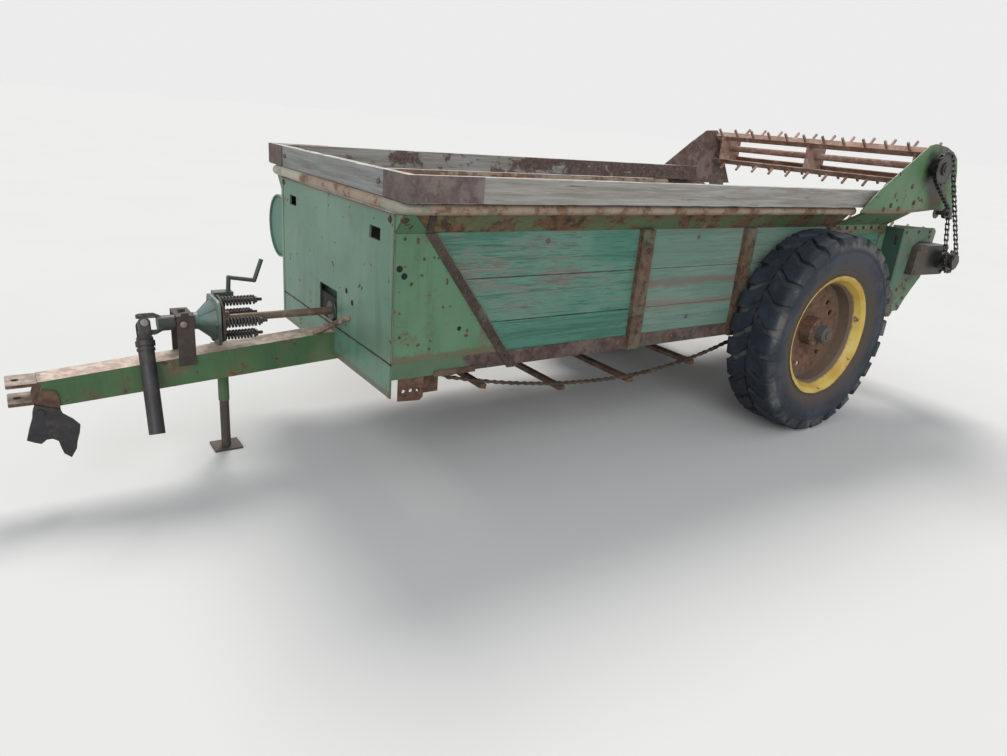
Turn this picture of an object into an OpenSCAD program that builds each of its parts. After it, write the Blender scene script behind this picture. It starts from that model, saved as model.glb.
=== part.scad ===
// Two-wheeled manure spreader with a chain-and-slat floor and two tined beaters.
// Lengths are in millimetres. Stations along the machine are counted from the axle, forward is +X,
// left is +Y and the ground is at height 0. The finished model is shifted along X so that its
// box is centred.
// Heights are given for a tyre of 540 mm radius. A larger one keeps its top just under the drive
// tube on the right side, so its spindle sits lower on the axle and the whole machine rises.

/* [Wheels] */
// Radius of the tyre at the lug tips
tyre_r = 540; // [520:5:560]
// Width of the tyre at its sidewalls
tyre_w = 270; // [250:5:280]
// Height of the tread lugs
lug_h = 20; // [14:1:24]
// Gap between the side of the box and the tyre
wheel_gap = 41; // [36:1:60]
// Radius of the rim flange
rim_r = 330; // [326:1:334]
// Width over the rim flanges
rim_w = 226; // [216:2:236]
// Radius of the wheel spindle
spindle_r = 30; // [24:1:34]

/* [Axle] */
// Side of the square axle beam
axle_beam = 75; // [60:1:80]
// Height of the top of the axle beam
axle_beam_top = 460; // [440:1:462]
// Thickness of the upright plates that carry the spindles
drop_plate_t = 12; // [8:1:14]

/* [Box] */
// Width of the box over its side boards
box_w = 1244; // [1230:2:1250]
// Thickness of the side boards
board_t = 30; // [24:1:34]
// Height of the floor surface
floor_z = 606; // [600:1:612]
// Thickness of the floor boards
floor_t = 28; // [22:1:32]
// Height of the top edge of the side boards
side_top_z = 1075; // [1070:1:1080]
// Height of the underside of the sills
sill_z = 515; // [510:1:518]
// Height of the sill angles
sill_h = 65; // [60:1:68]
// Thickness of sills, gussets and diagonal straps
iron_t = 6; // [5:1:7]
// Station of the outer face of the front panel
front_x = 2445; // [2435:5:2455]
// Station where the side boards end at the rear
board_rear_x = -830; // [-834:1:-828]
// Run of the sloping front wall for each unit of rise
front_slope = 0.73; // [0.71:0.01:0.75]
// Station where the sloping front wall meets the floor surface
front_foot_x = 1957; // [1950:1:1964]
// Height of the lower edge of the front panel
panel_bottom_z = 440; // [430:1:450]
// Height of the seam across the front panel
seam_z = 578; // [570:1:582]
// Height of the upper edge of the front panel
panel_top_z = 1142; // [1138:1:1146]

/* [Top rail] */
// Radius of the pipe round the top of the box
pipe_r = 22; // [20:1:24]
// Height of the middle of the pipe
pipe_z = 1172; // [1170:1:1176]
// Distance of the middle of the side pipes from the side boards
pipe_out = 83; // [80:1:86]
// Height of the extension boards
ext_h = 96; // [80:2:110]
// Thickness of the extension boards
ext_t = 46; // [38:1:48]

/* [Rear] */
// Distance of the end plates' inner faces from the side boards
end_plate_out = 158; // [154:1:162]
// Thickness of the end plates
end_plate_t = 5; // [4:1:6]
// Station of the upper beater shaft
upper_x = -898; // [-904:1:-892]
// Height of the upper beater shaft
upper_z = 1428; // [1424:1:1432]
// Station of the main beater shaft
main_x = -1290; // [-1294:1:-1286]
// Height of the main beater shaft
main_z = 882; // [878:1:886]
// Radius of the beater shafts
beater_shaft_r = 20; // [16:1:22]
// Distance from the upper shaft to the middle of its bars
upper_bar_r = 112; // [104:1:116]
// Distance from the main shaft to the middle of its bars
main_bar_r = 150; // [140:1:156]
// Length of a beater tooth
tooth_l = 62; // [50:1:66]
// Pitch of the beater drive chain
chain_pitch = 35; // [33:0.5:36]
// Distance of the beater drive chain from the end plate's inner face
chain_out = 54; // [52:1:58]

/* [Apron] */
// Distance of the apron chains from the inside of the box
apron_inset = 57; // [54:1:62]
// Station of the rear apron shaft
apron_rear_x = -867; // [-870:1:-862]
// Station of the front apron shaft
apron_front_x = 2130; // [2124:1:2136]
// Height of the front apron shaft
apron_front_z = 517; // [514:1:520]
// Radius of the apron chain round its rear wheels
apron_rear_r = 46; // [45:1:48]
// Radius of the apron chain round its front wheels
apron_front_r = 59; // [56:1:61]
// Radius of the apron shafts
apron_shaft_r = 19; // [16:1:20]
// Height of the slats
slat_h = 22; // [16:1:24]
// Lowest point of the slack return run
return_low_z = 328; // [310:2:350]

/* [Hitch] */
// Width of the tongue
tongue_w = 118; // [110:1:120]
// Station of the front end of the tongue beam
tongue_front_x = 3555; // [3545:5:3565]
// Reach of the hitch plates past the tongue beam
clevis_reach = 107; // [100:1:112]
// Radius of the hitch pin hole
hitch_pin_r = 13; // [11:1:15]
// Sideways place of the drive line
drive_y = 28; // [28:1:32]
// Height of the drive line
drive_z = 640; // [637:1:643]
// Radius of the drive shaft
drive_r = 16; // [14:1:18]
// Station of the universal joint's cross
cross_x = 3200; // [3190:1:3210]
// Length of the hanging drive tube from the cross to its end
tube_l = 423; // [400:1:440]
// Radius of the hanging drive tube
tube_r = 29; // [26:1:29]
// Radius of the bore of the hanging drive tube
tube_bore_r = 20; // [16:1:21]

/* [Jack] */
// Station of the jack
jack_x = 2880; // [2870:5:2890]
// Radius of the jack's outer tube
jack_r = 23; // [22:0.5:26]
// Sideways place of the middle of the jack, right of the tongue
jack_y = -130; // [-134:1:-126]
// Height of the lower end of the outer tube
jack_bottom_z = 225; // [222:1:240]

/* [Hidden] */
$fn = 48;

// Gap left between curved faces that seat on each other
seat = 0.3;
// Gap round a turning shaft
run_gap = 0.05;

side_shaft_z = 1118;
side_shaft_r = 22;
// Gap over the top of the tyre
tyre_clear = 16;
axle_z = side_shaft_z - side_shaft_r - tyre_clear - tyre_r;
rise = tyre_r - axle_z;
half_w = box_w / 2;
inner_w = half_w - board_t;
wheel_y = half_w + wheel_gap + tyre_w / 2;
sill_top = sill_z + sill_h;
sill_out = half_w + iron_t;
sill_leg = 66;
sill_in = sill_out - sill_leg;
bearer_z = sill_z + iron_t;
bearer_h = floor_z - floor_t - bearer_z;
panel_t = 5;
panel_back = front_x - panel_t;
stake_w = 76;
stake_d = 26;
stake_web = 6;
flare_t = 4;
flare_rise = [half_w, side_top_z + flare_t];
pipe_y = half_w + pipe_out;
pipe_wall = 3.5;
pipe_front_x = front_x + 10;
pipe_bend_r = 62;
ext_y = pipe_y - 1 + ext_t;
ext_z = pipe_z + pipe_r + seat;
ext_top = ext_z + ext_h;
ext_front_x = front_x + 15;
ext_rear_x = -580;
sheet_t = 5;
sheet_out = half_w + sheet_t;
end_plate_y = half_w + end_plate_out;
plate_out = end_plate_y + end_plate_t;
band_front_x = -290;
band_top_z = 1185;
band_foot_z = 1034;
band_bend_z = 1085;
stake_x = [1190, 465, band_front_x + stake_w / 2 + 2];
leg_front_x = -829;
leg_out = half_w + 113;
leg_t = 6;
leg_top_z = 1075;
chain_y = end_plate_y + chain_out;
upper_teeth = 16;
lower_teeth = 12;
upper_pitch_r = chain_pitch / 2 / sin(180 / upper_teeth);
lower_pitch_r = chain_pitch / 2 / sin(180 / lower_teeth);
chain_half = 7;
chain_w = 22;
idler_x = -1055;
idler_z = 1177;
idler_r = 36;
apron_y = inner_w - apron_inset;
apron_chain_t = 16;
apron_chain_w = 20;
apron_top_z = floor_z + apron_chain_t / 2;
apron_rear_z = apron_top_z - apron_rear_r;
floor_rear = -800;
floor_front = 1985;
slat_w = 34;
drop_y = sill_out;
spindle_end_y = wheel_y + rim_w / 2 - 30;
tongue_top_z = 552;
tongue_bottom_z = 424;
tongue_top_fall = 0.0795;
tongue_bottom_fall = 0.057;
tongue_wall = 8;
cross_member_x = 2215;
cross_member_l = 70;
clevis_t = 12;
clevis_gap = 58;
clevis_low_z = 379;
clevis_top_z = clevis_low_z + 2 * clevis_t + clevis_gap;
hitch_hole_x = tongue_front_x + clevis_reach - 31;
stand_x = cross_x - 178;
stand_w = 64;
case_rear_x = front_x - 110;
case_y = half_w + 83;
case_z = 893;
case_r = 155;
side_shaft_y = half_w + 123;
jack_top_z = 700;
jack_wall = 3;
jack_leg_r = jack_r - jack_wall - run_gap;
foot_t = 8;

// The finished model's box runs from the rear tips of the main beater to the nose of the hitch
bar = 40;
bar_t = 6;
tooth_w = 12;
tooth_offset = bar / 2 - 4;
tooth_tip_r = main_bar_r + bar / 2 - 6 + tooth_l;
rear_x = main_x - (tooth_tip_r + tooth_offset) * cos(45);
nose_x = tongue_front_x + clevis_reach;
shift_x = -(rear_x + nose_x) / 2;

// Station of the sloping front wall's cargo face at height z
function slope_x(z) = front_foot_x + (z - floor_z) * front_slope;

// Points of an arc about c from angle a to angle b
function arc(c, r, a, b, n) = [for (i = [0 : n]) c + r * [cos(a + (b - a) * i / n), sin(a + (b - a)
    * i / n)]];
function unit(v) = v / norm(v);
function heading(a, b) = atan2(b.y - a.y, b.x - a.x);

// Corner k of a polygon rounded to the radius in the third column
function rounded(pts, n = 5) = [for (k = [0 : len(pts) - 1])
    let (p = [pts[k].x, pts[k].y], q = pts[(k + len(pts) - 1) % len(pts)], s = pts[(k + 1) % len(pts)],
        u = unit([q.x, q.y] - p), v = unit([s.x, s.y] - p), half = acos(u * v) / 2, r = pts[k].z)
    each r == 0 ? [p] : let (c = p + unit(u + v) * r / sin(half), m = -unit(u + v),
        side = sign(u.x * v.y - u.y * v.x), a = atan2(m.y, m.x))
        arc(c, r, a + side * (90 - half), a - side * (90 - half), n)];

// Outline of two discs joined by their outer tangents
function pill(a, ra, b, rb, n = 14) = let (h = heading(a, b), t = acos((ra - rb) / norm(b - a)))
    concat(arc(b, rb, h - t, h + t, n), arc(a, ra, h + t, h + 360 - t, n));

module on_machine() { translate([shift_x, 0, rise]) children(); }
module on_side(s) { mirror([0, s < 0 ? 1 : 0, 0]) children(); }
module both_sides() {
    for (s = [-1, 1]) on_side(s) children();
}
// Turns a flat shape drawn in X and Z into a plate from y to y + t
module plate_xz(y, t) { translate([0, y + t, 0]) rotate([90, 0, 0]) linear_extrude(t) children(); }
// Turns a flat shape drawn in Y and Z into a bar from x to x + l
module bar_x(x, l) { translate([x, 0, 0]) rotate([90, 0, 90]) linear_extrude(l) children(); }
module rod_x(x, l, r) { translate([x, 0, 0]) rotate([0, 90, 0]) cylinder(h = l, r = r); }
module rod_y(x, z, y, l, r) { translate([x, y, z]) rotate([-90, 0, 0]) cylinder(h = l, r = r); }
module block(x0, x1, y0, y1, z0, z1) { translate([x0, y0, z0]) cube([x1 - x0, y1 - y0, z1 - z0]); }
// Round rod from point a to point b
module rod(a, b, r) {
    d = b - a;
    translate(a) rotate([0, acos(d.z / norm(d)), atan2(d.y, d.x)]) cylinder(h = norm(d), r = r);
}

// Tongue and hitch

function tongue_top(x) = tongue_top_z - (x - front_x) * tongue_top_fall;
function tongue_low(x) = tongue_bottom_z - (x - front_x) * tongue_bottom_fall;
nose_top = [tongue_front_x - 4, tongue_top(tongue_front_x - 4)];
nose_low = [tongue_front_x + 23, clevis_low_z];

module tongue() {
    back_x = cross_member_x + cross_member_l;
    w = tongue_wall;
    chin_x = tongue_front_x - 45;
    color("darkgreen") on_machine() difference() {
        plate_xz(-tongue_w / 2, tongue_w) polygon([[back_x, tongue_low(back_x)], [back_x, sill_z],
            [panel_back - 40, sill_z], [panel_back - 10, tongue_top(front_x)], nose_top, nose_low,
            [chin_x, tongue_low(chin_x)]]);
        plate_xz(-tongue_w / 2 + w, tongue_w - 2 * w) polygon([[back_x - 1, tongue_low(back_x) + w],
            [back_x - 1, sill_z - w], [panel_back - 36, sill_z - w], [panel_back - 6, tongue_top(front_x)
            - w],
            nose_top + [30, -w - 2.4], nose_low + [30, w], [chin_x, tongue_low(chin_x) + w]]);
    }
}

module hitch_clevis() {
    end_t = 14;
    half = tongue_w / 2;
    color("saddlebrown") on_machine() difference() {
        union() {
            plate_xz(-half, tongue_w) polygon([nose_top, nose_low, nose_low + [end_t, 0],
                nose_top + [end_t, 0]]);
            for (z = [clevis_low_z, clevis_low_z + clevis_t + clevis_gap]) translate([0, 0, z])
                linear_extrude(clevis_t) polygon(rounded([[tongue_front_x + 24, -half, 0],
                    [nose_x, -half, 7], [nose_x, half, 7], [tongue_front_x + 24, half, 0]]));
            block(tongue_front_x + 8, tongue_front_x + 25, -half, half, clevis_top_z - clevis_t,
                clevis_top_z);
        }
        translate([hitch_hole_x, 0, clevis_low_z - 1]) cylinder(h = clevis_top_z - clevis_low_z + 2,
            r = hitch_pin_r);
    }
}

module rest_strap() {
    color("sienna") on_machine() plate_xz(tongue_w / 2, 8) polygon([for (p = [[-3, 436], [-43, 425], [-50,
        401],
        [-52, 338], [27, 338], [27, 385], [19, 394]]) p + [tongue_front_x, 0]]);
}

// Hooked plate that held the coupled shaft
module shaft_rest() {
    outline = [[28, 385], [-18, 366], [-49, 358], [-56, 337], [-86, 311], [-107, 284], [-102, 254], [-92,
        223],
        [-86, 191], [-66, 158], [-44, 178], [-37, 203], [-31, 232], [-14, 244], [5, 244], [23, 230], [42,
        238],
        [66, 251], [54, 294], [40, 335], [37, 358]];
    color("dimgray") on_machine() {
        plate_xz(tongue_w / 2 + 8, 10) polygon([for (p = outline) p + [tongue_front_x, 0]]);
        rod_y(tongue_front_x + 13, 352, tongue_w / 2 + 17, 9, 13);
    }
}

// Flat strap from the tongue up to the front panel
module tongue_brace() {
    foot = [front_x + 62, tongue_w / 2 - 34];
    color("saddlebrown") on_machine() difference() {
        hull() {
            translate([foot.x, foot.y, tongue_top(foot.x) - 2]) cube([28, 28, 5]);
            translate([front_x, 210, 654]) cube([4, 26, 12]);
        }
        plate_xz(-tongue_w, 3 * tongue_w) polygon([[front_x - 50, tongue_top(front_x - 50)],
            [front_x + 200, tongue_top(front_x + 200)], [front_x + 200, 300], [front_x - 50, 300]]);
    }
}

// Frame, axle and floor

module cross_members() {
    // Places along the floor, as parts of its length
    places = [0.96, 0.745, 0.53, 0.325, 0.125];
    color("saddlebrown") on_machine() {
        for (f = places) let (x = floor_rear + f * (floor_front - floor_rear)) difference() {
            block(x, x + 50, -inner_w, inner_w, bearer_z, bearer_z + bearer_h);
            block(x + 5, x + 51, -inner_w - 1, inner_w + 1, bearer_z + 5, bearer_z + bearer_h - 5);
        }
        block(cross_member_x, cross_member_x + cross_member_l, -inner_w, inner_w, panel_bottom_z - 10,
            sill_z);
    }
}

module sills() {
    color("saddlebrown") on_machine() both_sides() bar_x(leg_front_x + 1, panel_back - leg_front_x - 1)
        polygon([[sill_in, sill_z], [sill_out, sill_z], [sill_out, sill_top], [half_w, sill_top],
        [half_w, bearer_z], [sill_in, bearer_z]]);
}

module axle() {
    plate_low = axle_beam_top - axle_beam;
    plate_high = axle_z + 62;
    color("saddlebrown") on_machine() {
        block(-axle_beam / 2, axle_beam / 2, -drop_y, drop_y, plate_low, axle_beam_top);
        both_sides() {
            block(-60, 60, sill_in, drop_y, axle_beam_top, sill_z);
            plate_xz(drop_y, drop_plate_t) polygon(rounded([[-75, plate_low, 20], [75, plate_low, 20],
                [62, plate_high, 20], [-62, plate_high, 20]]));
            rod_y(0, axle_z, drop_y, spindle_end_y - drop_y, spindle_r);
        }
    }
}

module floor() {
    planks = 7;
    color("tan") on_machine() difference() {
        block(floor_rear, floor_front, -inner_w, inner_w, floor_z - floor_t, floor_z);
        for (k = [1 : planks - 1]) block(floor_rear - 1, floor_front + 1,
            -inner_w + k * 2 * inner_w / planks - 2,
            -inner_w + k * 2 * inner_w / planks + 2, floor_z - 5, floor_z + 1);
    }
}

// Sides of the box

module boards(s) {
    seams = [708, 892];
    color("seagreen") on_machine() on_side(s) difference() {
        plate_xz(inner_w, board_t) polygon([[board_rear_x, bearer_z], [slope_x(bearer_z), bearer_z],
            [slope_x(side_top_z), side_top_z], [board_rear_x, side_top_z]]);
        for (z = seams) block(board_rear_x - 1, front_x, half_w - 3, half_w + 1, z - 2, z + 2);
    }
}
module boards_left() { boards(1); }
module boards_right() { boards(-1); }

module stakes() {
    out = half_w + stake_d;
    color("saddlebrown") on_machine() both_sides() for (x = stake_x) difference() {
        block(x - stake_w / 2, x + stake_w / 2, half_w, out, sill_z, side_top_z);
        block(x - stake_w / 2 + stake_web, x + stake_w / 2 - stake_web, half_w - 1, out - stake_web,
            sill_z - 1,
            side_top_z + 1);
        block(x - stake_w, x + stake_w, half_w - 1, sill_out, sill_z - 1, sill_top);
    }
}

// Sheets that widen the box from the boards up to the pipe
module flares() {
    aim = unit([pipe_y, pipe_z] - flare_rise);
    tip = flare_rise + aim * (norm([pipe_y, pipe_z] - flare_rise) - pipe_r - seat);
    across = [aim.y, -aim.x] * flare_t;
    color("olivedrab") on_machine() both_sides() bar_x(band_front_x, panel_back - 40 - band_front_x)
        polygon([[inner_w, side_top_z], [half_w, side_top_z], flare_rise + across, tip + across, tip,
            flare_rise,
        [inner_w, side_top_z + flare_t]]);
}

module pipe_section() {
    difference() {
        circle(pipe_r);
        circle(pipe_r - pipe_wall);
    }
}

module top_pipe() {
    side_l = pipe_front_x - pipe_bend_r - band_front_x;
    front_l = 2 * (pipe_y - pipe_bend_r);
    color("burlywood") on_machine() {
        both_sides() {
            translate([band_front_x, pipe_y, pipe_z]) rotate([90, 0, 90]) linear_extrude(side_l)
                pipe_section();
            translate([pipe_front_x - pipe_bend_r, pipe_y - pipe_bend_r, pipe_z])
                rotate_extrude(angle = 90) translate([pipe_bend_r, 0]) pipe_section();
        }
        translate([pipe_front_x, front_l / 2, pipe_z]) rotate([90, 0, 0]) linear_extrude(front_l)
            pipe_section();
    }
}

// Front of the box

module front_panel() {
    // Middle, width and height of the two openings near the upper edge
    slots = [[460, 95, 46], [-460, 88, 42]];
    slot_z = 1051;
    hole_in = 138;
    hole_out = 62;
    hole_low = 45;
    hole_high = 98;
    bearing_r = 42;
    color("darkseagreen") on_machine() {
        difference() {
            union() {
                block(panel_back, front_x, -sill_out, sill_out, seam_z + 2, panel_top_z);
                block(panel_back, front_x, -sill_out, sill_out, panel_bottom_z, seam_z - 2);
                block(panel_back - 3, panel_back, -half_w + 12, half_w - 12, sill_top + 1, panel_top_z);
                block(panel_back - 3, panel_back, -sill_in + 1, sill_in - 1, panel_bottom_z, sill_top + 1);
            }
            for (s = slots) block(panel_back - 9, front_x + 1, s.x - s.y / 2, s.x + s.y / 2,
                slot_z - s.z / 2,
                slot_z + s.z / 2);
            block(panel_back - 9, front_x + 1, drive_y - hole_in, drive_y + hole_out, drive_z - hole_low,
                drive_z + hole_high);
            plate_xz(-tongue_w / 2 - 1, tongue_w + 2) polygon([[panel_back - 50, panel_bottom_z - 30],
                [front_x + 9, panel_bottom_z - 30], [front_x + 9, tongue_top_z + 3],
                [panel_back - 50, tongue_top_z + 3]]);
        }
        // Bearing plate that stands behind the shaft opening
        difference() {
            union() {
                block(panel_back - 11, panel_back - 3, drive_y - hole_in - 22, drive_y + hole_out + 22,
                    drive_z - hole_low - 12, drive_z + 60);
                translate([0, drive_y, drive_z]) rod_x(panel_back - 11, 22, bearing_r);
            }
            translate([0, drive_y, drive_z]) rod_x(panel_back - 20, 60, drive_r + run_gap);
        }
    }
}

// The right gusset has an opening for the case of the drive
module gussets() {
    back = 32;
    color("darkseagreen") on_machine() for (s = [-1, 1]) on_side(s) difference() {
        plate_xz(half_w, iron_t) polygon([[panel_back, sill_top], [panel_back, side_top_z],
            [slope_x(side_top_z) - back, side_top_z], [slope_x(sill_top) - back, sill_top]]);
        if (s < 0) bar_x(case_rear_x - 1, 62) polygon(pill([-drive_y, drive_z], 86, [case_y, case_z],
            case_r + 1));
    }
}

module front_wall() {
    wall_t = 24;
    foot_z = floor_z + apron_chain_t + slat_h + 8;
    top_z = panel_top_z - 4;
    color("darkseagreen") on_machine() plate_xz(-inner_w, 2 * inner_w) polygon([[slope_x(foot_z), foot_z],
        [slope_x(top_z), top_z], [panel_back - 3, top_z], [panel_back - 3, top_z - 4],
        [slope_x(top_z) + wall_t + 4, top_z - 4], [slope_x(foot_z) + wall_t, foot_z]]);
}

module diagonal_straps() {
    strap_w = 46;
    foot_z = sill_z - 10;
    head_z = side_top_z - 2;
    hole_r = 6;
    holes = 9;
    color("saddlebrown") on_machine() both_sides() difference() {
        plate_xz(sill_out, iron_t) polygon([[slope_x(foot_z) - strap_w / 2, foot_z],
            [slope_x(foot_z) + strap_w / 2, foot_z], [slope_x(head_z) + strap_w / 2, head_z],
            [slope_x(head_z) - strap_w / 2, head_z]]);
        for (k = [1 : holes]) let (z = foot_z + k * (head_z - foot_z) / (holes + 1))
            rod_y(slope_x(z), z, sill_out - 1, iron_t + 2, hole_r, $fn = 12);
    }
}

// Extension boards on the pipe

module extension(s) {
    color("gray") on_machine() on_side(s)
        block(ext_rear_x, ext_front_x - ext_t, ext_y - ext_t, ext_y, ext_z, ext_top);
}
module extension_left() { extension(1); }
module extension_right() { extension(-1); }
module extension_front() {
    color("gray") on_machine() block(ext_front_x - ext_t, ext_front_x, -ext_y, ext_y, ext_z, ext_top);
}

module corner_plates() {
    plate_t = 4;
    front_leg = 190;
    side_leg = 300;
    inset = 5;
    color("rosybrown") on_machine() both_sides() {
        block(ext_front_x, ext_front_x + plate_t, ext_y - front_leg, ext_y + plate_t, ext_z + inset,
            ext_top);
        block(ext_front_x - side_leg, ext_front_x + plate_t, ext_y, ext_y + plate_t, ext_z + inset,
            ext_top);
    }
}

// Rear structure

// Outlines of the end plates above the band, from the upper shaft, with the radius of each corner
left_top = [[522, -134, 0], [116, 118, 20], [51, 130, 30], [-77, 119, 40], [-167, 94, 30], [-225, 61, 20],
    [-267, -10, 0], [-323, -169, 0]];
right_top = [[569, -139, 0], [336, 19, 0], [189, 109, 30], [69, 117, 30], [-65, -110, 0], [-150, -250, 0]];

module end_plate(s, top, bearing_r) {
    foot_z = band_top_z - 12;
    up = [for (p = top) [upper_x + p.x, upper_z + p.y, p.z]];
    tail = up[len(up) - 1];
    color("green") on_machine() on_side(s) difference() {
        union() {
            plate_xz(end_plate_y, end_plate_t) polygon(rounded(concat([[band_front_x + 55, foot_z, 0],
                [band_front_x + 55, foot_z + 8, 0]], up, s > 0 ? [[tail.x - 48, 1134, 0], [-1073, 1196, 60],
                [-734, foot_z, 0]] : [[-734, foot_z, 0]])));
            // Band that joins the plate to the side of the box, cut off slanting at the rear
            difference() {
                bar_x(-876, band_front_x + 876) polygon([[half_w, band_foot_z], [sheet_out, band_foot_z],
                    [sheet_out, band_bend_z - 2], [plate_out, band_top_z - 14], [plate_out, band_top_z],
                    [end_plate_y, band_top_z], [half_w, band_bend_z + 3]]);
                plate_xz(half_w - 1, plate_out + 2 - half_w) polygon([[-736, band_top_z + 1], [-876,
                    band_foot_z],
                    [-900, band_foot_z], [-900, band_top_z + 1]]);
            }
            rod_y(upper_x, upper_z, end_plate_y - 8, end_plate_t + (s > 0 ? 22 : 8), bearing_r);
            if (s > 0) {
                rod_y(idler_x, idler_z, end_plate_y, end_plate_t, 36);
                // Return flange along the rear edge
                plate_xz(end_plate_y - 34, 36) polygon([[tail.x, tail.y], [tail.x - 48, 1134],
                    [tail.x - 42, 1134],
                    [tail.x + 6, tail.y], [up[6].x + 6, up[6].y], [up[6].x, up[6].y]]);
            }
        }
        rod_y(upper_x, upper_z, end_plate_y - 20, end_plate_t + 60, beater_shaft_r + run_gap);
    }
}
module end_plate_left() { end_plate(1, left_top, 48); }
module end_plate_right() { end_plate(-1, right_top, 75); }

module legs() {
    web = [[leg_front_x, leg_top_z], [-1176, leg_top_z], [-1166, 1034], [-1010, 985], [-976, 961], [-962,
        819],
        [-922, 616], [-900, 540], [-846, 540], [leg_front_x, 570]];
    color("green") on_machine() both_sides() difference() {
        union() {
            plate_xz(leg_out - leg_t, leg_t) polygon(web);
            bar_x(leg_front_x - leg_t, leg_t) polygon([[sheet_out, 575], [leg_out, 575], [leg_out,
                leg_top_z],
                [sheet_out, leg_top_z]]);
            // Flange that ties the web to the rear sheet
            block(-1172, leg_front_x, sheet_out, leg_out, leg_top_z - leg_t - 24, leg_top_z - 24);
        }
        rod_y(apron_rear_x, apron_rear_z, 0, 900, apron_shaft_r + run_gap);
        // Long hole in the front flange
        bar_x(leg_front_x - 20, 40) polygon(pill([leg_out - 34, 985], 11, [leg_out - 34, 1020], 11));
    }
}

module rear_sheets() {
    color("darkolivegreen") on_machine() for (s = [-1, 1]) on_side(s) difference() {
        union() {
            plate_xz(half_w, sheet_t) polygon([[-770, sill_top], [-770, 1028], [-915, 1028], [-915, 1046],
                [-1172, 1046], [-1172, 1066], [-1423, 1053], [-1448, 1032], [-1445, 987], [-1405, 734],
                [-1339, 667], [-1275, 596], [-1222, 518], [leg_front_x - 2, 518], [leg_front_x - 2,
                sill_top]]);
            plate_xz(half_w, sheet_t) polygon([[-914, 1045], [-914, 1080], [-1190, 1065], [-1190, 1045]]);
            if (s < 0) rod_y(main_x, main_z, sheet_out - 1, 13, 44);
        }
        rod_y(main_x, main_z, 0, 900, beater_shaft_r + run_gap);
        rod_y(apron_rear_x, apron_rear_z, 0, 900, apron_shaft_r + run_gap);
    }
}

module gearbox() {
    color("dimgray") on_machine() translate([main_x, 0, main_z]) difference() {
        union() {
            plate_xz(sheet_out + 13, 128) polygon(rounded([[-75, -97, 18], [305, -90, 18], [298, 86, 18],
                [-75, 88, 18]]));
            plate_xz(sheet_out, 14) polygon([[-52, -80], [290, -76], [284, 72], [-52, 74]]);
            rod_y(0, 0, sheet_out + 140, 33, 55);
        }
        rod_y(0, 0, 0, 900, beater_shaft_r + run_gap);
    }
}

// Beater drive

// The chain runs round the upper wheel, over the idler on its front strand and round the lower wheel
upper_c = [upper_x, upper_z];
lower_c = [main_x, main_z];
idler_c = [idler_x, idler_z];
rear_a = heading(upper_c, lower_c) - acos((upper_pitch_r - lower_pitch_r) / norm(lower_c - upper_c));
front_a = heading(upper_c, idler_c) + acos((upper_pitch_r + idler_r) / norm(idler_c - upper_c));
below_a = heading(lower_c, idler_c) - acos((lower_pitch_r + idler_r) / norm(idler_c - lower_c));
function chain_loop(d) = concat(
    arc(upper_c, upper_pitch_r + d, rear_a, front_a - 360, 22),
    arc(idler_c, idler_r - d, front_a + 180, below_a + 180, 4),
    arc(lower_c, lower_pitch_r + d, below_a, rear_a, 14));

module beater_chain() {
    color("black") on_machine() {
        plate_xz(chain_y - chain_w / 2, chain_w) difference() {
            polygon(chain_loop(chain_half));
            polygon(chain_loop(-chain_half));
        }
    }
}

module chain_idler() {
    color("black") on_machine() {
        rod_y(idler_x, idler_z, plate_out, chain_y + chain_w / 2 + 14 - plate_out, 12);
        rod_y(idler_x, idler_z, chain_y - 9, 18, idler_r - chain_half - seat);
    }
}

// Beaters

// Four angle bars on squarish plates, with a row of pins on each bar
module beater(x, z, bar_r, first_a, y_out, spider_y, right_end) {
    teeth = 11;
    step = 2 * y_out / teeth;
    b = bar_r + bar / 2 - bar_t + 1;
    c = bar / 2 - bar_t + 2;
    rod_y(x, z, -right_end, right_end + 1, beater_shaft_r);
    for (k = [0 : 3]) translate([x, 0, z]) rotate([0, -first_a - 90 * k, 0]) {
        difference() {
            translate([bar_r + bar / 2 - bar, -y_out, -bar / 2]) cube([bar, 2 * y_out, bar]);
            translate([bar_r + bar / 2 - bar - 1, -y_out - 1, -bar / 2 + bar_t])
                cube([bar + 1 - bar_t, 2 * y_out + 2, bar]);
        }
        for (n = [0 : teeth - 1]) translate([bar_r + bar / 2 - 2, -y_out + (n + 0.3 + 0.4 * (k % 2)) * step,
            -tooth_offset]) cube([tooth_l - 4, tooth_w, tooth_w]);
    }
    for (y = spider_y) translate([x, y - 5, z]) rotate([0, -first_a, 0]) rotate([-90, 0, 0])
        linear_extrude(10)
        polygon([[b, -c], [b, c], [c, b], [-c, b], [-b, c], [-b, -c], [-c, -b], [c, -b]]);
}

module upper_beater() {
    y_out = end_plate_y - 25;
    color("firebrick") on_machine() {
        beater(upper_x, upper_z, upper_bar_r, 45, y_out, [80 - end_plate_y, 0, end_plate_y - 80],
            plate_out + 25);
        rod_y(upper_x, upper_z, 0, chain_y + 18, beater_shaft_r);
        rod_y(upper_x, upper_z, chain_y - 5, 10, upper_pitch_r - chain_half - 1);
        rod_y(upper_x, upper_z, chain_y - 22, 36, 36);
    }
}

module main_beater() {
    color("firebrick") on_machine() {
        beater(main_x, main_z, main_bar_r, 45, inner_w - 22, [72 - inner_w, 0, inner_w - 72],
            sheet_out + 30);
        rod_y(main_x, main_z, 0, chain_y + 18, beater_shaft_r);
        rod_y(main_x, main_z, chain_y - 5, 10, lower_pitch_r - chain_half - 1);
        rod_y(main_x, main_z, chain_y - 22, 36, 30);
        rod_y(main_x, main_z, chain_y + 12, 20, 46, $fn = 6);
    }
}

// Apron: two chains with slats across them, over the floor and back underneath it

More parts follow.
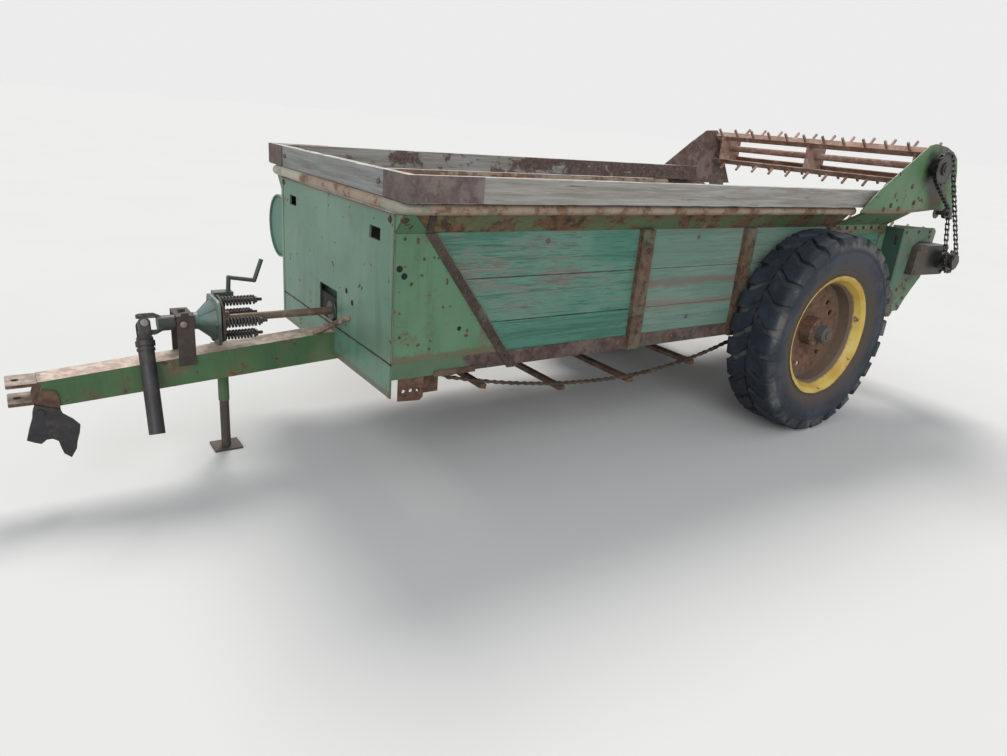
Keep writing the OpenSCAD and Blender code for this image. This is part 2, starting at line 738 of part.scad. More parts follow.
rear_c = [apron_rear_x, apron_rear_z];
front_c = [apron_front_x, apron_front_z];
bend_c = [1990, apron_top_z];
dip_a = heading(bend_c, front_c) + asin(apron_front_r / norm(front_c - bend_c));
rest_x = 145;
rest_z = sill_z - 19;
sag_x = 1130;
// The slack return run is two parabolas that meet at its lowest point
function sag_z(x) = x > sag_x
    ? return_low_z + (apron_front_z - apron_front_r - return_low_z) * pow((x - sag_x)
        / (apron_front_x - sag_x), 2)
    : return_low_z + (rest_z - return_low_z) * pow((sag_x - x) / (sag_x - rest_x), 2);
return_line = concat([for (k = [1 : 9]) let (x = apron_front_x + (sag_x - apron_front_x) * k / 9) [x,
    sag_z(x)]],
    [for (k = [1 : 9]) let (x = sag_x + (rest_x - sag_x) * k / 9) [x, sag_z(x)]], [[-700, rest_z]]);
function apron_loop(d) = concat([[apron_rear_x, apron_top_z + d], bend_c + [0, d]],
    arc(front_c, apron_front_r + d, 90 + dip_a, -90, 22), [for (p = return_line) p - [0, d]],
    arc(rear_c, apron_rear_r + d, 270, 100, 18));

module apron_chains() {
    color("dimgray") on_machine() both_sides() plate_xz(apron_y - apron_chain_w / 2, apron_chain_w)
        difference() {
        polygon(apron_loop(apron_chain_t / 2));
        polygon(apron_loop(-apron_chain_t / 2));
    }
}

module apron_slats() {
    top_z = apron_top_z + apron_chain_t / 2;
    span = apron_y + apron_chain_w / 2 + 6;
    top_n = 7;
    pitch = 420;
    // Slats of the return run lie along the middle of every fourth straight of the chain
    low_n = [1, 5, 9, 13, 17];
    back_x = [-235, -650];
    color("sienna") on_machine() {
        for (k = [0 : top_n - 1]) block(-700 + k * pitch - slat_w / 2, -700 + k * pitch + slat_w / 2,
            -span, span,
            top_z, top_z + slat_h);
        for (k = low_n) let (a = return_line[k - 1], b = return_line[k])
            translate([(a.x + b.x) / 2, 0, (a.y + b.y) / 2 - apron_chain_t / 2])
            rotate([0, -heading(a, b), 0]) block(-slat_w / 2, slat_w / 2, -span, span, 0, slat_h);
        for (x = back_x) let (z = rest_z - apron_chain_t / 2)
            block(x - slat_w / 2, x + slat_w / 2, -span, span, z - slat_h, z);
    }
}

module apron_rear_shaft() {
    color("dimgray") on_machine() {
        rod_y(apron_rear_x, apron_rear_z, -leg_out - 26, 2 * leg_out + 52, apron_shaft_r);
        both_sides() {
            rod_y(apron_rear_x, apron_rear_z, apron_y - 8, 16, apron_rear_r - apron_chain_t / 2 - seat);
            rod_y(apron_rear_x, apron_rear_z, leg_out + seat, 18, 36, $fn = 6);
        }
    }
}

module apron_front_shaft() {
    end_y = sill_in - 2;
    color("dimgray") on_machine() {
        rod_y(apron_front_x, apron_front_z, -end_y, 2 * end_y, apron_shaft_r);
        both_sides() rod_y(apron_front_x, apron_front_z, apron_y - 8, 16,
            apron_front_r - apron_chain_t / 2 - seat);
    }
}

// Bearings and take-up bars of the front shaft, with the drilled plates under the sills
module apron_bearings() {
    color("saddlebrown") on_machine() both_sides() {
        difference() {
            block(apron_front_x - 63, apron_front_x + 77, sill_in - 14, sill_in, apron_front_z - 32,
                apron_front_z + 30);
            rod_y(apron_front_x, apron_front_z, 0, 900, apron_shaft_r + run_gap);
        }
        block(apron_front_x - 63, apron_front_x + 127, sill_out, sill_out + 8, sill_z - 6, sill_z + 17);
        difference() {
            plate_xz(half_w, iron_t) polygon([[2301, 430], [2316, 417], [2411, 424], [2411, sill_z],
                [2301, sill_z]]);
            for (x = [2325, 2356, 2387]) rod_y(x, 462, 0, 900, 8, $fn = 12);
        }
    }
}

// Drive line on the tongue

module shaft_stand() {
    post_x = stand_x;
    post_w = stand_w;
    post_t = 8;
    half = tongue_w / 2;
    color("saddlebrown") on_machine() difference() {
        union() {
            both_sides() block(post_x, post_x + post_w, half, half + post_t, tongue_top(post_x) - 36,
                drive_z + 24);
            block(post_x, post_x + post_w, -half - post_t, half + post_t, drive_z + 24, drive_z + 32);
            block(post_x + 12, post_x + post_w - 12, drive_y - 36, drive_y + 36, drive_z - 36,
                drive_z + 25);
            rod_y(post_x + 42, drive_z + 1, half + 7, 12, 15, $fn = 6);
            for (y = [-34, 34]) block(post_x + 20, post_x + 44, drive_y + y - 9, drive_y + y + 9,
                drive_z + 31, drive_z + 44);
        }
        translate([0, drive_y, drive_z]) rod_x(post_x - 5, post_w + 10, drive_r + run_gap);
    }
}

cross_arm = 41;
ear_in = 26;
ear_w = 44;
yoke_base = 50;
// Unit vector along the hanging tube, which leans out just clear of the tongue
tube_dir = unit([0.021, 0.4706, -1]);
pivot_dir = unit([0, -tube_dir.z, tube_dir.y]);
pivot_tilt = atan2(pivot_dir.z, pivot_dir.y);
cross_c = [cross_x, drive_y, drive_z];

// A yoke whose stem runs along +Z away from the cross and whose ears stand on the Y axis
module yoke(stem) {
    base_l = 14;
    difference() {
        union() {
            // Ears and base, with their corners rounded off as on a forging
            intersection() {
                union() {
                    both_sides() {
                        translate([0, ear_in, 0]) rotate([-90, 0, 0])
                            cylinder(h = cross_arm - ear_in, r = ear_w / 2);
                        translate([-ear_w / 2, ear_in, 0])
                            cube([ear_w, cross_arm - ear_in, yoke_base + base_l]);
                    }
                    translate([-ear_w / 2, -cross_arm, yoke_base]) cube([ear_w, 2 * cross_arm, base_l]);
                }
                rotate_extrude() polygon([[0, -30], [36, -30], [cross_arm + 3, -8], [cross_arm + 3, 38],
                    [31, yoke_base + base_l + 1], [0, yoke_base + base_l + 1]]);
            }
            translate([0, 0, yoke_base]) cylinder(h = stem, r = 30);
        }
        rotate([-90, 0, 0]) translate([0, 0, -60]) cylinder(h = 120, r = 10);
    }
}

module clutch() {
    flange_x = 2932;
    cone_l = 60;
    stem_l = cross_x - yoke_base - stand_x - stand_w - 2;
    color("darkolivegreen") on_machine() {
        // Yoke fixed to the stub shaft, with the cross in it
        translate(cross_c) rotate([pivot_tilt, 0, 0]) {
            rotate([90, 0, 0]) rotate([0, -90, 0]) yoke(stem_l);
            rod_y(0, 0, -cross_arm, 2 * cross_arm, 10 - run_gap);
            rotate([90, 0, 0]) rod_y(0, 0, -cross_arm, 2 * cross_arm, 11);
            sphere(r = 20);
        }
        translate([0, drive_y, drive_z]) {
            rod_x(flange_x + 12, cross_x - 60 - flange_x - 12, drive_r);
            rod_x(flange_x + 70, stand_x - 2 - flange_x - 70, 34);
            translate([flange_x + 12, 0, 0]) rotate([0, 90, 0]) cylinder(h = cone_l, r1 = 84, r2 = 34);
            bar_x(flange_x, 13) polygon(rounded([[-92, -92, 34], [92, -92, 34], [92, 92, 34], [-92, 92,
                34]]));
        }
    }
}

module drive_shaft() {
    plate_x = 2912;
    spring_l = 130;
    coils = 10;
    spring_r = 21;
    core_r = 16;
    circle_r = 71;
    color("dimgray") on_machine() translate([0, drive_y, drive_z]) {
        rod_x(case_rear_x + 34, plate_x + 1 - case_rear_x - 34, drive_r);
        rod_x(plate_x, 14, 96);
        for (a = [0 : 90 : 270]) rotate([a, 0, 0]) translate([0, 0, circle_r]) {
            rod_x(plate_x - spring_l - 34, spring_l + 35, 7);
            rod_x(plate_x - spring_l - 12, 12, 19);
            translate([plate_x - spring_l, 0, 0]) rotate([0, 90, 0]) rotate_extrude($fn = 24)
                polygon([[0, -1], [core_r, -1], each [for (k = [0 : coils - 1]) each [[core_r,
                    spring_l * k / coils],
                [spring_r, spring_l * (k + 0.5) / coils]]], [core_r, spring_l], [0, spring_l]]);
        }
    }
}

module pto_tube() {
    spin = atan2(tube_dir.x, -tube_dir.z / cos(pivot_tilt));
    color("black") on_machine() translate(cross_c) rotate([pivot_tilt, 0, 0]) rotate([0, 180 - spin, 0])
        difference() {
            union() {
                yoke(20);
                translate([0, 0, 62]) cylinder(h = tube_l - 62, r = tube_r);
                translate([0, 0, 64]) cylinder(h = 20, r = tube_r + 6);
                translate([0, 0, 92]) cylinder(h = 10, r = tube_r + 4);
            }
            translate([0, 0, 110]) cylinder(h = tube_l, r = tube_bore_r);
        }
}

// Closed case that takes the drive from the tongue to the machine's right side, with its round guard
module drive_case() {
    guard_a = acos((sill_out - case_y) / case_r);
    lip = 9;
    face_a = acos((sill_out + lip - case_y) / (case_r - lip));
    color("darkseagreen") on_machine() on_side(-1) difference() {
        union() {
            bar_x(case_rear_x, 60) polygon(pill([-drive_y, drive_z], 85, [case_y, case_z], case_r));
            bar_x(case_rear_x, front_x - 7 - case_rear_x) polygon(arc([case_y, case_z], case_r, -guard_a,
                guard_a, 26));
        }
        bar_x(front_x - 15, 20) polygon(arc([case_y, case_z], case_r - lip, -face_a, face_a, 26));
        translate([0, -drive_y, drive_z]) rod_x(case_rear_x + 30, 60, drive_r + run_gap);
    }
}

// Tube that guards the long shaft on the right side, its end box and the case up to the upper beater
module side_drive() {
    bend_x = 1150;
    box_x = [-1010, -882];
    y = side_shaft_y;
    foot = [(box_x[0] + box_x[1]) / 2, side_shaft_z];
    start = [case_rear_x, y, case_z];
    bend = [bend_x, y, side_shaft_z];
    color("darkolivegreen") on_machine() on_side(-1) {
        // The slanting tube is cut off square against the case
        difference() {
            rod(start + 8 * unit(start - bend), bend, side_shaft_r);
            block(case_rear_x, case_rear_x + 20, y - 40, y + 40, case_z - 40, case_z + 40);
        }
        translate([bend_x, y, side_shaft_z]) sphere(r = side_shaft_r + 8);
        rod_x_at(box_x[1] - 1, bend_x - box_x[1] + 1, y, side_shaft_z, side_shaft_r);
        block(box_x[0], box_x[1], leg_out - 40, plate_out, leg_top_z, side_shaft_z + 43);
        difference() {
            plate_xz(plate_out, 45) polygon(pill(foot, 52, upper_c, 62));
            rod_y(upper_x, upper_z, plate_out - 1, 36, beater_shaft_r + run_gap);
        }
        for (x = [bend_x + 60, -200]) block(x - 12, x + 12, pipe_y - 6, y + 8, side_shaft_z + 8,
            pipe_z - pipe_r - seat);
    }
}
module rod_x_at(x, l, y, z, r) { translate([0, y, z]) rod_x(x, l, r); }

// Jack

module jack_tube() {
    y = jack_y;
    bore_r = jack_r - jack_wall;
    // Corners of the crank's rod, along and up
    crank = [[-39, 712], [-43, 772], [-149, 754], [-182, 844]];
    color("darkgreen") on_machine() {
        difference() {
            union() {
                translate([jack_x, y, jack_bottom_z]) cylinder(h = jack_top_z - jack_bottom_z, r = jack_r);
                block(jack_x - 45, jack_x + 45, y, -tongue_w / 2, 408, 494);
                block(jack_x - 54, jack_x + 25, y - 26, y + 26, jack_top_z - 4, jack_top_z + 15);
            }
            translate([jack_x, y, jack_bottom_z - 1]) cylinder(h = jack_top_z - 10 - jack_bottom_z,
                r = bore_r);
        }
        for (k = [0 : 2]) let (a = crank[k], b = crank[k + 1]) {
            rod([jack_x + a.x, y, a.y], [jack_x + b.x, y, b.y], 9);
            if (k > 0) translate([jack_x + a.x, y, a.y]) sphere(r = 9.5);
        }
    }
}

module jack_leg() {
    leg_top = 430;
    color("gray") on_machine() translate([jack_x, jack_y, -rise]) {
        cylinder(h = leg_top + rise, r = jack_leg_r);
        translate([-60, -55, 0]) cube([120, 110, foot_t]);
    }
}

// Wheels

module wheel_frame(s) {
    on_side(s) translate([0, wheel_y, axle_z]) rotate([-90, 0, 0]) children();
}

lugs = 26;
// Outline of one lug across the tread: along the rolling direction, then outward from the middle
lug_plan = [[-17, 1], [17, 1], [17, 0.54], [62, 0.05], [40, -0.06], [-17, 0.44]];

module tyre(s) {
    half = tyre_w / 2;
    end = half + 3;
    flange = rim_w / 2;
    bead = rim_r - 22;
    crown = tyre_r - lug_h;
    color("dimgray") on_machine() wheel_frame(s) union() {
        rotate_extrude($fn = 96) polygon([[bead, flange - 26], [bead, flange - 12.2], [bead + 1.9,
            flange - 6.5],
            [rim_r + 1, flange - 5.4], [rim_r + 60, half - 4], [tyre_r - 110, half], [tyre_r - 42,
            half - 4],
            [crown - 4, half - 22], [crown, half - 38], [crown, 38 - half], [crown - 4, 22 - half],
            [tyre_r - 42, 4 - half], [tyre_r - 110, -half], [rim_r + 60, 4 - half], [rim_r + 1,
            5.4 - flange],
            [bead + 1.9, 6.5 - flange], [bead, 12.2 - flange], [bead, 26 - flange], [rim_r + 6,
            22 - flange],
            [rim_r + 62, 22 - half], [tyre_r - 110, 18 - half], [tyre_r - 60, 30 - half], [tyre_r - 56, 0],
            [tyre_r - 60, half - 30], [tyre_r - 110, half - 18], [rim_r + 62, half - 22], [rim_r + 6,
            flange - 22]]);
        intersection() {
            rotate_extrude($fn = 96) polygon([[tyre_r - 62, -end], [tyre_r - 12, -end], [tyre_r, 14 - end],
                [tyre_r, end - 14], [tyre_r - 12, end], [tyre_r - 62, end]]);
            union() for (h = [0, 1], k = [0 : lugs - 1]) rotate((k + h / 2) * 360 / lugs) rotate([180 * h,
                0, 0])
                bar_x(tyre_r - 52, 60) polygon([for (p = lug_plan) [p.x, p.y * (end + 1)]]);
        }
    }
}
module tyre_left() { tyre(1); }
module tyre_right() { tyre(-1); }

module rim(s) {
    flange = rim_w / 2;
    bead = rim_r - 22 - seat;
    wall = 6;
    well_r = rim_r - 56;
    disc_t = 9;
    disc_z = -22;
    hub_r = 77;
    cap_r = 45;
    cap_z = flange - 8;
    hub_back = -82;
    pairs = 5;
    color("gold") on_machine() wheel_frame(s) difference() {
        union() {
            rotate_extrude($fn = 96) polygon([[rim_r, flange], [rim_r, flange - 5], [bead + 2, flange - 6],
                [bead, flange - 12], [bead, flange - 62], [well_r, flange - 74], [well_r, -flange + 74],
                [bead, -flange + 62], [bead, -flange + 12], [bead + 2, -flange + 6], [rim_r, -flange + 5],
                [rim_r, -flange], [rim_r - 12, -flange], [bead - wall, -flange + 10], [bead - wall,
                -flange + 58],
                [well_r - wall, -flange + 70], [well_r - wall, flange - 62], [bead - wall - 2, flange - 12],
                [rim_r - 12, flange - 1]]);
            rotate_extrude($fn = 96) polygon([[well_r - wall / 2, disc_z], [well_r - wall / 2,
                disc_z + disc_t],
                [well_r - 30, disc_z + disc_t], [150, disc_z - 12 + disc_t], [hub_r - 4,
                disc_z - 12 + disc_t],
                [hub_r - 4, disc_z - 12], [150, disc_z - 12], [well_r - 30, disc_z]]);
            rotate_extrude() polygon([[spindle_r + run_gap, hub_back], [hub_r, hub_back], [hub_r, 44],
                [hub_r - 6, 50],
                [cap_r, 54], [cap_r, cap_z - 8], [cap_r - 8, cap_z], [0, cap_z], [0, cap_z - 10],
                [spindle_r + run_gap, cap_z - 10]]);
        }
        for (k = [0 : pairs - 1], d = [-11, 11]) rotate(k * 360 / pairs + d) translate([196, 0, -60])
            cylinder(h = 80, r = 15);
    }
}
module rim_left() { rim(1); }
module rim_right() { rim(-1); }

tongue();
hitch_clevis();
rest_strap();
shaft_rest();
tongue_brace();
cross_members();
sills();
axle();
floor();
boards_left();
boards_right();
stakes();
flares();
top_pipe();
front_panel();
gussets();
front_wall();
diagonal_straps();
extension_left();
extension_right();
extension_front();
corner_plates();
end_plate_left();
end_plate_right();
legs();
rear_sheets();
gearbox();
beater_chain();
chain_idler();
upper_beater();
main_beater();
apron_chains();
apron_slats();
apron_rear_shaft();
apron_front_shaft();
apron_bearings();
shaft_stand();
clutch();
drive_shaft();
pto_tube();
drive_case();
side_drive();
jack_tube();
jack_leg();
tyre_left();
tyre_right();
rim_left();
rim_right();
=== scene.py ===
import bpy
import bmesh
from itertools import product
from math import acos, asin, atan2, cos, degrees, hypot, pi, radians, sin
from mathutils import Matrix, Vector, noise


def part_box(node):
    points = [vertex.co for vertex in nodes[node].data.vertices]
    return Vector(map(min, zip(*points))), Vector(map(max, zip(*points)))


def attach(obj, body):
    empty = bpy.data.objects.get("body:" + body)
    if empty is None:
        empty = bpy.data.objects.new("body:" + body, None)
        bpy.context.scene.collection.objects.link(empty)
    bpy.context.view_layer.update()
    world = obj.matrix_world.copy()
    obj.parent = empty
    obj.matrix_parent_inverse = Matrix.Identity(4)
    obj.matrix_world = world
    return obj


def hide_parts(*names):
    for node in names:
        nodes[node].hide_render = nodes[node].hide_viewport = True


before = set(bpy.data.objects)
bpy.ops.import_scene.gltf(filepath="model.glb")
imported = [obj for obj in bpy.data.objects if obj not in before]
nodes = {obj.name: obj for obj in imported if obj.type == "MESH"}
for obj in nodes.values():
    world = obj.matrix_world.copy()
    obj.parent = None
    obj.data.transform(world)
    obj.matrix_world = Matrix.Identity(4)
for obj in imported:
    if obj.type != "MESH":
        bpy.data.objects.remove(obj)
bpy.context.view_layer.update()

low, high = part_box("axle")
AXLE_X = (low.x + high.x) / 2
HUB_Z = 0.54
X, Y, Z = range(3)
scene = bpy.context.scene


def placed(name, data):
    """A new object in the scene."""
    obj = bpy.data.objects.new(name, data)
    scene.collection.objects.link(obj)
    return obj


def at(x, y, z):
    """A point given in millimetres, with x counted from the axle."""
    return Vector((x / 1000 + AXLE_X, y / 1000, z / 1000))


# Materials

class Graph:
    """A material with one principled shader, and short calls that add nodes to it."""

    def __init__(self, name):
        self.material = bpy.data.materials.new(name)
        self.material.use_nodes = True
        self.tree = self.material.node_tree
        self.tree.nodes.clear()
        self.out = self.add("ShaderNodeOutputMaterial")
        self.shader = self.add("ShaderNodeBsdfPrincipled")
        self.link(self.shader.outputs[0], self.out.inputs[0])
        self.point = self.add("ShaderNodeTexCoord").outputs["Object"]
        self.seed = sum(ord(c) for c in name) % 37

    def add(self, kind, **props):
        node = self.tree.nodes.new(kind)
        for key, value in props.items():
            setattr(node, key, value)
        return node

    def link(self, a, b):
        self.tree.links.new(a, b)

    def put(self, socket, value):
        if isinstance(value, bpy.types.NodeSocket):
            self.link(value, socket)
        elif isinstance(value, (tuple, list)) and len(value) == 3 and socket.type == "RGBA":
            socket.default_value = (*value, 1)
        else:
            socket.default_value = value

    def math(self, op, a, b=0.0):
        node = self.add("ShaderNodeMath", operation=op)
        self.put(node.inputs[0], a)
        self.put(node.inputs[1], b)
        return node.outputs[0]

    def plus(self, a, b):
        return self.math("ADD", a, b)

    def minus(self, a, b):
        return self.math("SUBTRACT", a, b)

    def times(self, a, b):
        return self.math("MULTIPLY", a, b)

    def stir(self, value, pattern, amount):
        """Shifts a value to and fro by a noise."""
        return self.plus(value, self.times(self.minus(pattern, 0.5), amount))

    def smooth(self, value, lo, hi, amount=1.0):
        """0 at lo and the amount at hi, with lo the larger where it falls."""
        node = self.add("ShaderNodeMapRange", interpolation_type="SMOOTHSTEP")
        self.put(node.inputs["Value"], value)
        for key, number in ("From Min", lo), ("From Max", hi), ("To Max", amount):
            node.inputs[key].default_value = number
        return node.outputs[0]

    def mix(self, factor, a, b, kind="RGBA", first=6, result=2):
        """Mixes two colours."""
        node = self.add("ShaderNodeMix", data_type=kind)
        for socket, value in (0, factor), (first, a), (first + 1, b):
            self.put(node.inputs[socket], value)
        return node.outputs[result]

    def blend(self, factor, a, b):
        """Mixes two numbers."""
        return self.mix(factor, a, b, "FLOAT", 2, 0)

    def noise(self, scale, detail=8.0, rough=0.6, stretch=(1, 1, 1), shift=0.0, distort=0.0):
        place = self.add("ShaderNodeMapping")
        self.link(self.point, place.inputs[0])
        place.inputs["Location"].default_value = (self.seed + shift, shift * 1.7, 0.3 * shift)
        place.inputs["Scale"].default_value = stretch
        node = self.add("ShaderNodeTexNoise")
        self.link(place.outputs[0], node.inputs["Vector"])
        names = ("Scale", "Detail", "Roughness", "Distortion")
        for key, value in zip(names, (scale, detail, rough, distort)):
            node.inputs[key].default_value = value
        return node.outputs[0]

    def axis(self, k):
        node = self.add("ShaderNodeSeparateXYZ")
        self.link(self.point, node.inputs[0])
        return node.outputs[k]

    def edges(self, radius):
        """1 along sharp edges, within the radius."""
        bevel = self.add("ShaderNodeBevel", samples=4)
        bevel.inputs[0].default_value = radius
        plain = self.add("ShaderNodeNewGeometry")
        dot = self.add("ShaderNodeVectorMath", operation="DOT_PRODUCT")
        self.link(bevel.outputs[0], dot.inputs[0])
        self.link(plain.outputs["Normal"], dot.inputs[1])
        return self.smooth(dot.outputs["Value"], 0.995, 0.84)

    def radius(self, x, z):
        """Distance from the line through (x, z) along Y."""
        dx = self.minus(self.axis(X), x)
        dz = self.minus(self.axis(Z), z)
        return self.math("SQRT", self.plus(self.times(dx, dx), self.times(dz, dz)))

    def finish(self, colour, rough, height=None, strength=0.3, distance=0.002, metal=0.0):
        for key, value in ("Base Color", colour), ("Roughness", rough), ("Metallic", metal):
            self.put(self.shader.inputs[key], value)
        if height is not None:
            bump = self.add("ShaderNodeBump")
            bump.inputs["Strength"].default_value = strength
            bump.inputs["Distance"].default_value = distance
            self.link(height, bump.inputs["Height"])
            self.link(bump.outputs[0], self.shader.inputs["Normal"])
        return self.material


RUST = (0.105, 0.048, 0.026)
RUST_LIGHT = (0.19, 0.085, 0.04)
RUST_DARK = (0.035, 0.02, 0.016)
CRACK = (0.05, 0.045, 0.04)
BOARD_STEP = 0.035


def shade(colour, share):
    return tuple(c * share for c in colour)


def painted(name, paint, faded, loss=0.3, edge=0.8, rough=0.5, dust=0.2, dots=None, extra=(),
            rust=RUST, light=RUST_LIGHT, dark=RUST_DARK, dusty=(0.2, 0.17, 0.12)):
    """Old paint that fades in patches, runs in streaks and wears to rust in spots and along edges."""
    g = Graph(name)
    big = g.noise(2.2, 5, 0.55)
    streak = g.noise(3.0, 6, 0.6, (6, 6, 0.55), shift=5)
    fine = g.noise(70, 4, 0.7, shift=9)
    coat = g.mix(g.smooth(big, 0.36, 0.66), paint, faded)
    coat = g.mix(g.smooth(streak, 0.5, 0.72, 0.45), coat, shade(paint, 0.55))
    coat = g.mix(g.smooth(fine, 0.5, 0.8, 0.3), coat, shade(faded, 1.35))
    spots = g.noise(7.5, 14, 0.72, shift=2)
    mid = 0.5 + (0.5 - loss) * 0.44
    mask = g.smooth(spots, mid - 0.02, mid + 0.035)
    pits = g.noise(26, 10, 0.75, shift=12)
    worn = g.smooth(g.times(g.times(g.edges(0.006), edge * 2.0), pits), 0.42, 0.62)
    mask = g.math("MAXIMUM", mask, worn)
    if dots:
        mask = g.math("MAXIMUM", mask, g.smooth(g.noise(30, 1.5, 0.5, shift=55), dots, dots + 0.025))
    tone = g.mix(g.smooth(pits, 0.38, 0.62), dark, rust)
    tone = g.mix(g.smooth(g.noise(13, 8, 0.7, shift=20), 0.52, 0.72), tone, light)
    colour = g.mix(mask, coat, tone)
    # Rust stain that has spread into the paint round each worn place
    halo = g.smooth(spots, mid - 0.09, mid, 0.35)
    colour = g.mix(g.times(halo, g.minus(1.0, mask)), colour, rust)
    lie = g.smooth(g.noise(4.5, 7, 0.6, shift=31), 0.48, 0.7, dust)
    colour = g.mix(lie, colour, dusty)
    gloss = g.blend(mask, rough, 0.82)
    for step in extra:
        colour, gloss = step(g, colour, gloss)
    height = g.times(g.plus(g.minus(1.0, mask), pits), 0.7)
    height = g.plus(height, g.times(big, 0.4))
    return g.finish(colour, gloss, height, 0.35, 0.0012)


def wood(name, bare, brown, along=X, paint=None, loss=0.0, seams=(), zone=None, extra=()):
    """Weathered boards: grain and cracks along one axis, with what is left of their paint."""
    g = Graph(name)
    stretch = [13, 13, 13]
    stretch[along] = 0.55
    grain = g.noise(3.4, 8, 0.65, stretch, distort=0.5)
    fine = g.noise(11, 6, 0.7, stretch, shift=3)
    crack = g.noise(5.5, 5, 0.6, [share * 1.6 for share in stretch], shift=8, distort=0.3)
    cracks = g.smooth(crack, 0.64, 0.7)
    tone = g.mix(g.smooth(grain, 0.32, 0.66), brown, bare)
    tone = g.mix(g.smooth(fine, 0.5, 0.75, 0.55), tone, shade(bare, 1.5))
    if paint:
        fresh, faded = paint
        patch = g.noise(1.7, 8, 0.6, (1, 1, 2.2), shift=15)
        # Each board has lost more paint than the one below it
        for seam in seams:
            patch = g.plus(patch, g.times(g.math("GREATER_THAN", g.axis(Z), seam), BOARD_STEP))
        patch = g.minus(patch, BOARD_STEP)
        # The paint is thinnest within a band of heights
        middle, half = zone
        d = g.math("ABSOLUTE", g.minus(g.axis(Z), middle))
        patch = g.plus(patch, g.blend(g.smooth(d, half, half * 0.3), -0.08, 0.08))
        mid = 0.5 + (0.5 - loss) * 0.4
        mask = g.smooth(g.plus(g.times(fine, 0.55), g.times(patch, 0.45)), mid - 0.02, mid + 0.022)
        old = g.mix(g.smooth(patch, 0.4, 0.6), fresh, faded)
        old = g.mix(g.smooth(grain, 0.46, 0.66, 0.7), old, shade(fresh, 0.5))
        old = g.mix(g.smooth(fine, 0.46, 0.38, 0.6), old, shade(fresh, 0.35))
        tone = g.mix(mask, old, tone)
    colour = g.mix(g.times(cracks, 0.85), tone, CRACK)
    gloss = 0.78
    for step in extra:
        colour, gloss = step(g, colour, gloss)
    height = g.minus(g.plus(grain, g.times(fine, 0.5)), g.times(cracks, 0.9))
    return g.finish(colour, gloss, height, 0.55, 0.003)


def iron(name, deep, middle, raised, rough, metal=0.1, extra=()):
    """Bare or greasy iron with three tones in patches and a pitted face."""
    g = Graph(name)
    a = g.noise(6, 9, 0.66)
    b = g.noise(24, 9, 0.72, shift=4)
    fine = g.noise(120, 3, 0.6, shift=7)
    colour = g.mix(g.smooth(a, 0.4, 0.6), deep, middle)
    colour = g.mix(g.smooth(b, 0.5, 0.68, 0.8), colour, raised)
    gloss = g.blend(g.smooth(b, 0.4, 0.7), rough, min(1.0, rough + 0.15))
    for step in extra:
        colour, gloss = step(g, colour, gloss)
    height = g.plus(b, g.times(fine, 0.35))
    return g.finish(colour, gloss, height, 0.4, 0.0015, metal)


def near_line(x, z, lo, hi, tint, amount, gloss_to):
    """Stains what lies within a radius of a shaft, such as with grease."""
    def step(g, colour, gloss):
        r = g.stir(g.radius(x / 1000 + AXLE_X, z / 1000), g.noise(16, 6, 0.6, shift=41), 0.12)
        f = g.smooth(r, hi / 1000, lo / 1000, amount)
        return g.mix(f, colour, tint), g.blend(f, gloss, gloss_to)
    return step


def bands(rows):
    """Stains along heights or stations: rows of (axis, middle, half width, colour, amount)."""
    def step(g, colour, gloss):
        for k, mid, half, tint, amount in rows:
            d = g.math("ABSOLUTE", g.minus(g.axis(k), mid))
            d = g.stir(d, g.noise(9, 9, 0.7, shift=mid * 7), half * 2.6)
            f = g.smooth(d, half, half * 0.25, amount)
            colour = g.mix(f, colour, tint)
        return colour, gloss
    return step


def pocket(rows, tint, amount=1.0, gloss_to=0.6, edge=0.004, wander=0.0):
    """Tints a box given by rows of (axis, low, high) in metres, with stations counted from the axle."""
    def step(g, colour, gloss):
        f = amount
        cloud = g.noise(8, 9, 0.7, shift=3) if wander else None
        for k, lo, hi in rows:
            place = g.stir(g.axis(k), cloud, wander) if wander else g.axis(k)
            middle = (lo + hi) / 2 + (AXLE_X if k == X else 0)
            d = g.math("ABSOLUTE", g.minus(place, middle))
            half = (hi - lo) / 2
            f = g.times(g.smooth(d, half + edge, half - edge), f)
        return g.mix(f, colour, tint), g.blend(f, gloss, gloss_to)
    return step


def painted_sunlit_tops(a, b, amount=1.0, cover=(0.66, 0.52)):
    """Covers the faces that look up with two pale tones, as painted sunlight on the tops."""
    def step(g, colour, gloss):
        part = g.add("ShaderNodeSeparateXYZ")
        g.link(g.add("ShaderNodeNewGeometry").outputs["Normal"], part.inputs[0])
        up = g.smooth(part.outputs[Z], 0.75, 0.95)
        patch = g.smooth(g.noise(3.2, 10, 0.7, (1, 3, 3), shift=17), *cover)
        top = g.mix(g.smooth(g.noise(22, 9, 0.7, shift=23), 0.4, 0.62), a, b)
        return g.mix(g.times(g.times(up, patch), amount), colour, top), gloss
    return step


def crust(g, colour, gloss):
    """Dried brown crust on the inner faces of the side boards, thickest toward the rear."""
    inner = g.smooth(g.math("ABSOLUTE", g.axis(Y)), 0.735, 0.715)
    rearward = g.times(g.minus(g.axis(X), AXLE_X + 1.6), -0.09)
    lump = g.plus(g.noise(5, 10, 0.7, (1, 1, 1.4), shift=44), rearward)
    f = g.times(g.smooth(lump, 0.5, 0.56, 0.9), inner)
    crumb = g.smooth(g.noise(40, 8, 0.7, shift=46), 0.4, 0.6)
    dirt = g.mix(crumb, (0.05, 0.026, 0.022), (0.12, 0.07, 0.06))
    return g.mix(f, colour, dirt), gloss


GREASE = (0.012, 0.012, 0.013)
STAIN = (0.055, 0.036, 0.024)
SEAM = (0.02, 0.022, 0.018)
SHAFT_Y = 0.028
